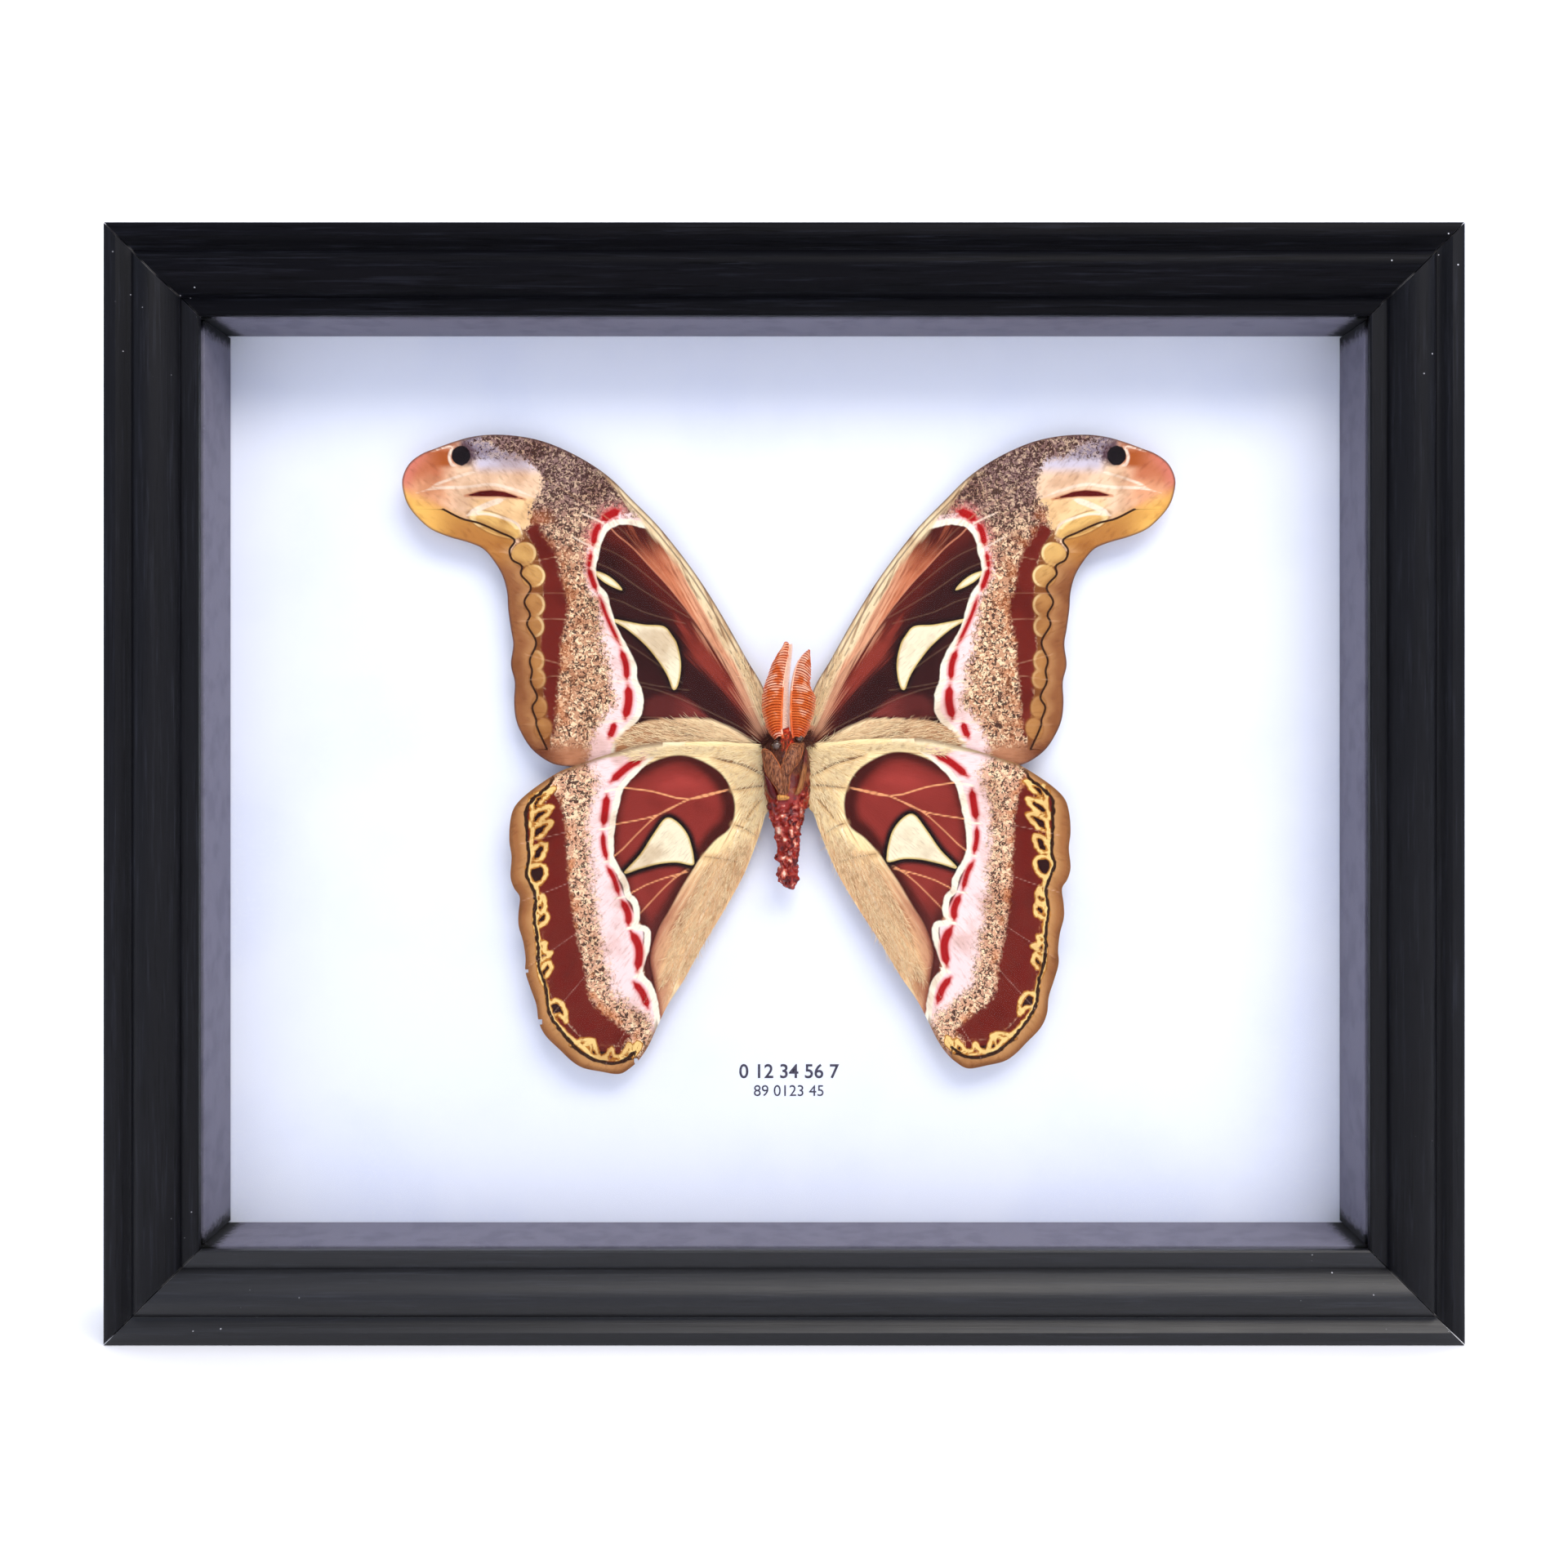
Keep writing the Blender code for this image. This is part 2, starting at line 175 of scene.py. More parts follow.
# %% Stage and light
WHITE_FLOOR = (0.93, 0.93, 0.94, 1)
SKY_COLOUR = (0.70, 0.77, 1.0, 1)
SKY_STRENGTH = 0.9
WARM_LAMP = (1, 0.95, 0.88)
FLOOR_SIZE = (22, 5)
BEND_RADIUS = 0.8
BEND_STEPS = 12
WALL_HEIGHT = 6


def make_sweep():
    """A floor strip extruded back, then up in a quarter turn to a tall wall."""
    bpy.ops.mesh.primitive_plane_add(size=1, location=(0, 0, 0))
    sweep = bpy.context.object
    sweep.name = "floor_sweep"
    sweep.scale = (*FLOOR_SIZE, 1)
    settle(sweep)
    select_points(sweep, [vert.co.y > 0 for vert in sweep.data.vertices])
    for step in range(1, BEND_STEPS + 1):
        angle = radians(90) * step / BEND_STEPS
        before = radians(90) * (step - 1) / BEND_STEPS
        move = (0, BEND_RADIUS * (sin(angle) - sin(before)), BEND_RADIUS * (cos(before) - cos(angle)))
        bpy.ops.mesh.extrude_region_move(TRANSFORM_OT_translate={"value": move})
    bpy.ops.mesh.extrude_region_move(TRANSFORM_OT_translate={"value": (0, 0, WALL_HEIGHT)})
    leave_edit()
    bpy.ops.object.shade_smooth()
    return sweep


def area_light(name, place, aim, size, power, colour=(1, 1, 1)):
    lamp = bpy.data.objects.new(name, bpy.data.lights.new(name, "AREA"))
    bpy.context.scene.collection.objects.link(lamp)
    lamp.location = place
    lamp.rotation_euler = (Vector(aim) - Vector(place)).to_track_quat("-Z", "Y").to_euler()
    lamp.data.shape = "RECTANGLE"
    lamp.data.size, lamp.data.size_y = size
    lamp.data.energy = power
    lamp.data.color = colour
    return lamp


floor = make_sweep()
floor_material = bpy.data.materials.new("pale_floor")
floor_material.use_nodes = True
floor_shader = floor_material.node_tree.nodes["Principled BSDF"]
floor_shader.inputs["Base Color"].default_value = WHITE_FLOOR
floor_shader.inputs["Roughness"].default_value = 0.9
floor.data.materials.append(floor_material)

world = bpy.data.worlds.new("pale_room")
bpy.context.scene.world = world
world.use_nodes = True
world.node_tree.nodes["Background"].inputs["Color"].default_value = SKY_COLOUR
world.node_tree.nodes["Background"].inputs["Strength"].default_value = SKY_STRENGTH
area_light("overhead_lamp", (0.4, -0.8, 1.05), (0, 0, 0.13), (1.1, 0.6), 15.5, WARM_LAMP)
area_light("backdrop_lamp", (0, 1.2, 3.0), (0, 3.3, 0.8), (6, 1.5), 130.0)

# %% [markdown]
# Every finish is painted with shader nodes. This small painter keeps a colour that is built up in
# layers, as a decorator would: a ground, then one coat after another, each with its own mask.
# Distances inside masks are in millimetres, so a value can be compared with the real thing.

# %% Painter
def linear(red, green, blue):
    """A colour given in 0 to 255 screen values, as the shader wants it."""
    shares = (value / 255 for value in (red, green, blue))
    return (*(s / 12.92 if s <= 0.04045 else ((s + 0.055) / 1.055) ** 2.4 for s in shares), 1.0)


class Painter:
    """Builds one material. Sockets and plain numbers can be mixed in every call."""

    def __init__(self, name, roughness=0.6, specular=0.5):
        self.material = bpy.data.materials.new(name)
        self.material.use_nodes = True
        self.tree = self.material.node_tree
        self.shader = self.tree.nodes["Principled BSDF"]
        self.shader.inputs["Roughness"].default_value = roughness
        self.shader.inputs["Specular IOR Level"].default_value = specular
        self.attributes = {}
        self.colour = None
        position = self.tree.nodes.new("ShaderNodeTexCoord")
        scaled = self.tree.nodes.new("ShaderNodeVectorMath")
        scaled.operation = "SCALE"
        scaled.inputs["Scale"].default_value = 1 / MM
        self.tree.links.new(position.outputs["Object"], scaled.inputs[0])
        self.position = scaled.outputs[0]

    def put(self, socket, value):
        if isinstance(value, bpy.types.NodeSocket):
            self.tree.links.new(value, socket)
        else:
            socket.default_value = value

    def math(self, operation, *values):
        node = self.tree.nodes.new("ShaderNodeMath")
        node.operation = operation
        for socket, value in zip(node.inputs, values):
            self.put(socket, value)
        return node.outputs[0]

    def add(self, *values):
        total = values[0]
        for value in values[1:]:
            total = self.math("ADD", total, value)
        return total

    def times(self, *values):
        total = values[0]
        for value in values[1:]:
            total = self.math("MULTIPLY", total, value)
        return total

    def waver(self, value, noise, reach):
        """A value that strays with some noise, so that the edge drawn from it is ragged."""
        return self.add(value, self.times(noise, reach))

    def less(self, first, second):
        return self.math("SUBTRACT", first, second)

    def invert(self, value):
        return self.math("SUBTRACT", 1.0, value)

    def rise(self, value, low, high):
        """0 below low, 1 above high and smooth between; low above high turns it round."""
        node = self.tree.nodes.new("ShaderNodeMapRange")
        node.interpolation_type = "SMOOTHSTEP"
        falling = low > high
        self.put(node.inputs["Value"], value)
        node.inputs["From Min"].default_value = min(low, high)
        node.inputs["From Max"].default_value = max(low, high)
        node.inputs["To Min"].default_value = 1.0 if falling else 0.0
        node.inputs["To Max"].default_value = 0.0 if falling else 1.0
        return node.outputs["Result"]

    def between(self, value, low, high, soft):
        """1 between low and high, with edges this soft."""
        return self.times(
            self.rise(value, low - soft / 2, low + soft / 2),
            self.rise(value, high + soft / 2, high - soft / 2)
        )

    def split(self, vector, channel):
        node = self.tree.nodes.new("ShaderNodeSeparateXYZ")
        self.put(node.inputs[0], vector)
        return node.outputs[channel]

    def attribute(self, name, channel=None):
        if name not in self.attributes:
            node = self.tree.nodes.new("ShaderNodeAttribute")
            node.attribute_name = name
            split = self.tree.nodes.new("ShaderNodeSeparateXYZ")
            self.tree.links.new(node.outputs["Vector"], split.inputs[0])
            self.attributes[name] = (node.outputs["Vector"], split.outputs)
        vector, channels = self.attributes[name]
        return vector if channel is None else channels[channel]

    def stretch(self, vector, scale):
        node = self.tree.nodes.new("ShaderNodeVectorMath")
        node.operation = "MULTIPLY"
        self.put(node.inputs[0], vector)
        node.inputs[1].default_value = scale
        return node.outputs[0]

    def noise(self, size, vector=None, detail=2.0, rough=0.5, twist=0.0, stretch=None):
        """Smooth noise around 0.5 with lumps about this many millimetres wide."""
        source = self.position if vector is None else vector
        if stretch:
            source = self.stretch(source, stretch)
        node = self.tree.nodes.new("ShaderNodeTexNoise")
        self.put(node.inputs["Vector"], source)
        node.inputs["Scale"].default_value = 1 / size
        node.inputs["Detail"].default_value = detail
        node.inputs["Roughness"].default_value = rough
        node.inputs["Distortion"].default_value = twist
        return node.outputs["Fac"]

    def cells(self, size):
        """Distance to the middle of the nearest of many cells, each about this many millimetres wide."""
        node = self.tree.nodes.new("ShaderNodeTexVoronoi")
        self.put(node.inputs["Vector"], self.position)
        node.inputs["Scale"].default_value = 1 / size
        return node.outputs["Distance"]

    def mix(self, first, second, share):
        node = self.tree.nodes.new("ShaderNodeMix")
        node.data_type = "RGBA"
        self.put(node.inputs[0], share)
        self.put(node.inputs[6], first)
        self.put(node.inputs[7], second)
        return node.outputs[2]

    def ground(self, colour):
        self.colour = colour

    def coat(self, colour, *masks):
        """Lays a colour over what is there, as strongly as all the masks multiplied."""
        self.colour = self.mix(self.colour, colour, self.times(*masks))

    def tint(self, colour, *masks):
        """A coat that multiplies what is under it, as a thin wash does."""
        mask = self.times(*masks)
        node = self.tree.nodes.new("ShaderNodeMix")
        node.data_type = "RGBA"
        node.blend_type = "MULTIPLY"
        self.put(node.inputs[0], mask)
        self.put(node.inputs[6], self.colour)
        self.put(node.inputs[7], colour)
        self.colour = node.outputs[2]

    def bump(self, height, depth, strength=1.0):
        """Relief this many millimetres deep for a height that runs from 0 to 1."""
        node = self.tree.nodes.new("ShaderNodeBump")
        node.inputs["Strength"].default_value = strength
        node.inputs["Distance"].default_value = depth * MM
        self.put(node.inputs["Height"], height)
        self.tree.links.new(node.outputs["Normal"], self.shader.inputs["Normal"])

    def done(self, roughness=None):
        self.put(self.shader.inputs["Base Color"], self.colour)
        if roughness is not None:
            self.put(self.shader.inputs["Roughness"], roughness)
        print("finish", self.material.name, "nodes", len(self.tree.nodes))
        return self.material

# %% [markdown]
# The rails are a bought moulding: pine or a like wood, cut at 45 degrees and painted black. The paint
# is thin, so the open grain shows as fine streaks along each rail, and the cut edges at the mitres
# show as pale hairlines. The solids already have the moulding's section, so they stay, with their
# joined corners smoothed, and get this paint.

# %% Black painted rails
FRAME_WIDTH = cad_high.x - cad_low.x
FRAME_HEIGHT = cad_high.z - cad_low.z
SIGHT = 22
SHARP_EDGE = 30


def edge_distances(paint):
    """Millimetres from a point to the nearer upright side, and to the nearer of top and bottom."""
    across = paint.math("ABSOLUTE", paint.split(paint.position, 0))
    up = paint.math("ABSOLUTE", paint.less(paint.split(paint.position, 2), FRAME_HEIGHT / MM / 2))
    from_side = paint.less(FRAME_WIDTH / MM / 2, across)
    from_end = paint.less(FRAME_HEIGHT / MM / 2, up)
    return from_side, from_end


def black_paint(name, along, gloss):
    """Satin black over open grain; along is the axis that the grain follows."""
    paint = Painter(name, roughness=0.4, specular=gloss)
    stretch = [1.0, 1.0, 1.0]
    stretch[along] = 0.035
    grain = paint.noise(0.9, detail=5, rough=0.65, stretch=stretch)
    pores = paint.noise(0.45, detail=3, rough=0.6, stretch=[s * (1 if s == 1 else 0.8) for s in stretch])
    mottle = paint.noise(14, detail=3)
    paint.ground(linear(8, 8, 12))
    paint.coat(linear(24, 25, 31), paint.rise(grain, 0.5, 0.72))
    paint.coat(linear(2, 2, 4), paint.rise(pores, 0.56, 0.66))
    from_side, from_end = edge_distances(paint)
    off_mitre = paint.math("ABSOLUTE", paint.less(from_side, from_end))
    wander = paint.times(paint.less(paint.noise(3.0), 0.5), 0.2)
    hairline = paint.rise(paint.add(off_mitre, wander), 0.26, 0.1)
    worn = paint.times(hairline, paint.rise(paint.noise(5.0, detail=3), 0.42, 0.6))
    paint.coat(linear(150, 146, 142), worn, 0.8)
    dust = paint.rise(paint.cells(3.4), 0.075, 0.03)
    near_corner = paint.rise(paint.math("MAXIMUM", from_side, from_end), 60, 22)
    paint.coat(linear(200, 200, 205), dust, near_corner, paint.rise(mottle, 0.5, 0.62))
    paint.bump(paint.add(paint.times(grain, 0.7), paint.times(pores, 0.5)), 0.10, 0.5)
    return paint.done(roughness=paint.add(0.34, paint.times(grain, 0.16), paint.times(mottle, 0.08)))


def smooth_solid(piece):
    """Joins a solid's loose triangles for show and keeps its real edges sharp."""
    weld = piece.modifiers.new("weld", "WELD")
    weld.merge_threshold = 0.00001
    split = piece.modifiers.new("edges", "EDGE_SPLIT")
    split.split_angle = radians(SHARP_EDGE)
    for face in piece.data.polygons:
        face.use_smooth = True


def give(names, material):
    for name in names:
        solid = nodes[name]
        solid.data.materials.clear()
        solid.data.materials.append(material)
        smooth_solid(solid)


# One black paint in three copies of different shine: the glossy bottom copy shows bright bands and the top
# copy barely shines. These are lit and shaded copies of the same paint, standing in for how the lamp falls
# on each rail.
give(["rail_top"], black_paint("black_paint_top", 0, 0.05))
give(["rail_bottom"], black_paint("black_paint_bottom", 0, 0.46))
give(["rail_left", "rail_right"], black_paint("black_paint_upright", 2, 0.17))

# %% [markdown]
# Picture glass is clear and 2 mm thick. Real glass would bend light and lose the lamps' light in a
# render, so it is made as a thin clear film that mirrors a little more at a grazing view, as glass
# does.

# %% Glass
def clear_glass():
    material = bpy.data.materials.new("picture_glass")
    material.use_nodes = True
    tree = material.node_tree
    tree.nodes.clear()
    see_through = tree.nodes.new("ShaderNodeBsdfTransparent")
    see_through.inputs["Color"].default_value = (0.985, 0.992, 0.99, 1)
    shine = tree.nodes.new("ShaderNodeBsdfGlossy")
    shine.inputs["Roughness"].default_value = 0.015
    fresnel = tree.nodes.new("ShaderNodeFresnel")
    fresnel.inputs["IOR"].default_value = 1.12
    both = tree.nodes.new("ShaderNodeMixShader")
    output = tree.nodes.new("ShaderNodeOutputMaterial")
    tree.links.new(fresnel.outputs[0], both.inputs[0])
    tree.links.new(see_through.outputs[0], both.inputs[1])
    tree.links.new(shine.outputs[0], both.inputs[2])
    tree.links.new(both.outputs[0], output.inputs[0])
    return material


nodes["glass_pane"].data.materials.clear()
nodes["glass_pane"].data.materials.append(clear_glass())

# %% [markdown]
# Strips of grey card line the case and hold the glass off the board. Near each of the four corners they
# turn black, with a soft fuzzy edge.

# %% Grey spacers with black corners
def spacer_finish():
    paint = Painter("grey_card_strip", roughness=0.75, specular=0.3)
    paint.ground(linear(120, 117, 132))
    paint.coat(linear(110, 107, 123), paint.rise(paint.noise(6, detail=4), 0.42, 0.68))
    paint.coat(linear(138, 134, 152), paint.rise(paint.noise(0.5, detail=2), 0.55, 0.75), 0.5)
    from_side, from_end = edge_distances(paint)
    from_corner = paint.less(paint.math("MAXIMUM", from_side, from_end), SIGHT)
    fuzz = paint.times(paint.less(paint.noise(1.3, detail=4, rough=0.7), 0.5), 5.0)
    # Black near each corner, fading out with a fuzzy edge.
    paint.coat(linear(14, 13, 15), paint.rise(paint.add(from_corner, fuzz), 4.6, 1.4))
    paint.bump(paint.noise(0.35, detail=3), 0.05, 0.5)
    return paint.done()


give(["spacer_top", "spacer_bottom", "spacer_left", "spacer_right"], spacer_finish())

# %% [markdown]
# The board is smooth white mount card with the faintest cool cast and a fine tooth.

# %% White backing
def card_finish():
    paint = Painter("white_mount_card", roughness=0.8, specular=0.25)
    paint.ground(linear(241, 243, 254))
    paint.coat(linear(234, 237, 252), paint.rise(paint.noise(40, detail=3), 0.4, 0.7))
    paint.coat(linear(247, 249, 254), paint.rise(paint.noise(0.6, detail=3), 0.5, 0.7), 0.4)
    paint.bump(paint.noise(0.25, detail=3), 0.03, 0.35)
    return paint.done()


give(["backing_board"], card_finish())

# %% [markdown]
# The back isn't in the picture, so it follows common practice: a brown fibreboard panel held by flat
# steel points, with a sawtooth plate near the top.

# %% Back panel and hardware
def fibreboard_finish():
    paint = Painter("brown_fibreboard", roughness=0.85, specular=0.2)
    paint.ground(linear(150, 118, 84))
    paint.coat(linear(118, 88, 60), paint.rise(paint.noise(1.6, detail=5, rough=0.7), 0.45, 0.65))
    paint.coat(
        linear(176, 146, 108),
        paint.rise(paint.noise(0.8, detail=4, rough=0.7, stretch=(1, 1, 0.3)), 0.56, 0.72),
    )
    paint.tint(linear(238, 232, 224), paint.rise(paint.noise(60, detail=2), 0.4, 0.7))
    paint.bump(paint.noise(0.7, detail=5, rough=0.7), 0.12, 0.6)
    return paint.done()


def steel_finish():
    paint = Painter("zinc_plated_steel", roughness=0.35)
    paint.shader.inputs["Metallic"].default_value = 1.0
    paint.ground(linear(190, 192, 196))
    paint.coat(linear(150, 150, 156), paint.rise(paint.noise(1.8, detail=4), 0.45, 0.7))
    paint.coat(linear(120, 104, 88), paint.rise(paint.noise(0.9, detail=4), 0.62, 0.75), 0.6)
    paint.bump(paint.noise(0.4, detail=3, stretch=(0.15, 1, 1)), 0.03, 0.5)
    return paint.done(roughness=paint.add(0.26, paint.times(paint.noise(1.2, detail=4), 0.3)))


give(["back_panel"], fibreboard_finish())
steel_names = [name for name in nodes if name.startswith(("panel_tab", "hanger"))]
give(steel_names, steel_finish())

# %% [markdown]
# The moth is spread with its underside to the glass. Places on it are in millimetres from its middle:
# the first number is outward from the midline, the second is up. Each marking is a run of points that
# a smooth curve passes through, so the same lists serve the left and the right wing.

# %% Places on the moth
MOTH_X = 1.0 * MM
MOTH_Z = 144.4 * MM
FOREWING_LAYER = 27.2
HINDWING_LAYER = 25.8
CAMBER = 3.0
WING_PITCH = 0.45


def smooth_run(points, closed=False, steps=6):
    """A Catmull-Rom curve through the points, as an array of places."""
    knots = [np.array(point, float) for point in points]
    if closed:
        knots = [knots[-1], *knots, knots[0], knots[1]]
    else:
        knots = [2 * knots[0] - knots[1], *knots, 2 * knots[-1] - knots[-2]]
    run = []
    for p0, p1, p2, p3 in zip(knots, knots[1:], knots[2:], knots[3:]):
        for step in range(steps):
            t = step / steps
            run.append(0.5 * (2 * p1 + (p2 - p0) * t + (2 * p0 - 5 * p1 + 4 * p2 - p3) * t ** 2
                              + (3 * p1 - p0 - 3 * p2 + p3) * t ** 3))
    if not closed:
        run.append(knots[-2])
    return np.array(run)


def distance_to(run, spots, closed=False):
    """Each spot's distance to a run, and how far along the run the nearest place is."""
    ends = np.vstack([run, run[:1]]) if closed else run
    starts, steps = ends[:-1], np.diff(ends, axis=0)
    lengths = np.linalg.norm(steps, axis=1)
    travelled = np.concatenate([[0], np.cumsum(lengths)[:-1]])
    best = np.full(len(spots), 1e9)
    along = np.zeros(len(spots))
    for start, step, length, offset in zip(starts, steps, lengths, travelled):
        if length < 1e-9:
            continue
        share = np.clip(((spots - start) @ step) / length ** 2, 0, 1)
        gap = np.linalg.norm(spots - start - share[:, None] * step, axis=1)
        nearer = gap < best
        best[nearer] = gap[nearer]
        along[nearer] = offset + share[nearer] * length
    return best, along


def is_inside(loop, spots):
    """True for spots within a closed loop, by counting crossings."""
    inside = np.zeros(len(spots), bool)
    x, z = spots.T
    for (x1, z1), (x2, z2) in zip(loop, np.roll(loop, -1, axis=0)):
        if z1 == z2:
            continue
        crosses = (z1 > z) != (z2 > z)
        inside ^= crosses & (x < (x2 - x1) * (z - z1) / (z2 - z1) + x1)
    return inside


def depth_in(loop, spots):
    """Distance to a loop's edge, positive inside it."""
    gap, _ = distance_to(loop, spots, closed=True)
    return np.where(is_inside(loop, spots), gap, -gap)


def beyond(run, corners, spots):
    """Distance to an open run, positive on the side where the corners close it."""
    gap, along = distance_to(run, spots)
    side = is_inside(np.vstack([run, np.array(corners, float)]), spots)
    return np.where(side, gap, -gap), along


def oval_depth(ovals, spots):
    """About how deep each spot is in the nearest of some ovals: (x, z, half width, half height, tilt)."""
    best = np.full(len(spots), -1e9)
    for x, z, half_width, half_height, tilt in ovals:
        turn = radians(tilt)
        across = (spots[:, 0] - x) * cos(turn) + (spots[:, 1] - z) * sin(turn)
        up = (spots[:, 1] - z) * cos(turn) - (spots[:, 0] - x) * sin(turn)
        reach = np.sqrt((across / half_width) ** 2 + (up / half_height) ** 2)
        best = np.maximum(best, (1 - reach) * min(half_width, half_height))
    return best


def stroke_depth(strokes, spots):
    """How far inside the nearest stroke each spot is. A stroke is its half width and its points."""
    best = np.full(len(spots), -9.0)
    for half_width, points in strokes:
        run = smooth_run(points)
        gap, along = distance_to(run, spots)
        share = along / max(along.max(), 1e-6)
        taper = np.clip(np.minimum(share, 1 - share) * 6, 0.25, 1)
        best = np.maximum(best, half_width * taper - gap)
    return best

# %% [markdown]
# First the forewing's outline and its markings: the scalloped white line, the maroon band, the wavy
# black line with its ochre ovals, two clear windows, and the snake's-head tip.

# %% Forewing shapes
FOREWING = (
    (3.0, 6.6), (5.2, 14.5), (7.2, 19.8), (10.6, 25.4), (13.5, 30.6), (17.2, 37.1), (22.0, 44.9),
    (26.6, 51.5), (31.1, 57.3), (35.0, 61.9), (40.9, 67.8), (46.1, 73.0), (51.3, 76.9), (57.8, 80.5),
    (64.4, 83.1), (70.9, 84.4), (77.4, 84.7), (82.6, 84.1), (87.2, 82.8), (91.8, 81.1), (95.7, 79.5),
    (98.9, 76.9), (100.6, 73.0), (100.2, 69.1), (98.9, 65.8), (96.3, 62.6), (93.1, 59.9), (88.5, 58.0),
    (83.9, 56.7), (80.0, 55.1), (77.4, 52.4), (74.8, 48.2), (73.5, 43.6), (73.2, 39.1), (72.5, 33.9),
    (71.9, 29.9), (72.5, 24.7), (71.5, 20.2), (71.7, 15.0), (71.2, 10.4), (69.6, 6.5), (67.0, 2.6),
    (63.1, -0.4), (59.1, -1.7), (50.0, -2.0), (40.0, 0.0), (25.0, 2.0), (12.0, 3.2), (3.0, 3.0),
)
FORE_WHITE_LINE = (
    (36.5, 61.0), (39.0, 61.6), (42.9, 62.2), (46.8, 61.3), (49.4, 58.0), (50.4, 54.1), (51.3, 49.5),
    (50.4, 45.6), (48.1, 42.4), (47.3, 39.1), (46.1, 35.1), (44.2, 31.2), (41.9, 27.3), (40.6, 24.1),
    (40.3, 20.8), (39.0, 16.9), (39.0, 13.0), (40.3, 10.4), (42.2, 8.4), (44.2, 5.8), (45.5, 3.2),
    (46.5, -2.5),
)
FORE_BAND_INNER = (
    (65.5, 61.5), (64.4, 58.6), (61.1, 53.4), (59.2, 44.9), (57.9, 40.4), (58.5, 35.2), (59.8, 30.6),
    (59.8, 25.4), (60.5, 18.9), (61.1, 12.4), (61.5, 6.5),
)
FORE_BAND_OUTER = (
    (69.0, 59.9), (66.0, 54.7), (64.4, 48.2), (64.1, 41.7), (64.4, 35.2), (64.8, 28.6), (64.1, 22.2),
    (63.9, 15.6), (63.1, 10.4), (62.1, 6.2),
)
FORE_BLACK_LINE = (
    (90.1, 65.2), (85.3, 62.8), (80.7, 61.6), (75.5, 59.3), (71.6, 57.3), (72.9, 54.7), (72.2, 52.1),
    (69.7, 50.5), (69.9, 48.2), (67.3, 44.9), (69.0, 41.1), (67.5, 37.8), (68.3, 35.1), (66.0, 30.6),
    (67.6, 26.0), (67.0, 23.1), (67.3, 20.2), (65.7, 16.3), (67.0, 13.6), (66.0, 10.4), (65.7, 8.4),
    (63.1, 2.6),
)
# x, height, half width, half height, tilt in degrees
FORE_OVALS = (
    (76.5, 61.3, 7.0, 2.5, 22), (69.2, 53.6, 3.2, 2.9, -35), (66.7, 47.9, 2.9, 2.9, -40),
    (66.3, 40.3, 2.5, 2.9, 0), (66.2, 34.7, 2.2, 2.6, 0), (65.9, 25.7, 1.9, 2.6, 0),
    (65.6, 21.0, 2.0, 2.4, 0), (65.2, 13.6, 1.9, 2.7, 0), (64.1, 8.0, 2.1, 2.6, 10),
)
FORE_ALMOND = ((51.0, 49.2), (48.0, 48.4), (45.2, 46.4), (43.5, 44.2), (46.0, 45.0), (49.0, 46.8))
FORE_WINDOW = (
    (46.9, 36.8), (42.0, 36.0), (37.7, 35.2), (32.8, 34.8), (30.6, 32.4), (29.2, 29.9), (28.2, 24.7),
    (29.0, 19.4), (30.3, 18.2), (31.6, 21.4), (33.1, 24.1), (37.0, 29.3), (42.2, 33.9),
)
FORE_STRIP_EDGE = (
    (50.6, 75.4), (47.4, 73.2), (43.2, 68.4), (38.8, 62.4), (34.6, 57.4), (29.8, 52.1), (25.3, 44.9),
    (21.4, 37.8), (18.1, 31.2), (13.5, 24.1), (10.3, 16.9), (7.0, 9.1),
)
FORE_FUR_EDGE = (
    (46.0, 5.6), (43.5, 7.1), (38.3, 10.1), (28.5, 10.7), (22.0, 10.7), (16.8, 9.1), (12.2, 6.5),
    (7.0, 2.9),
)
FORE_MAIN_VEIN = (
    (47.0, 61.0), (44.8, 58.6), (40.9, 55.4), (35.7, 49.8), (31.8, 45.6), (26.6, 39.1), (21.4, 31.9),
    (16.8, 26.7), (12.2, 20.8), (9.0, 15.0), (5.9, 8.0),
)
FORE_MIDDLE_RED = (
    (29.8, 37.8), (26.6, 35.2), (21.4, 30.0), (16.8, 24.7), (12.2, 18.2), (7.7, 10.4), (12.2, 11.7),
    (16.8, 16.9), (21.4, 21.5), (25.3, 25.4), (27.9, 30.6),
)
FORE_LOWER_RED = (
    (36.4, 16.3), (30.5, 17.6), (25.3, 15.0), (21.4, 11.0), (26.6, 10.4), (34.4, 10.1), (38.3, 11.7),
)
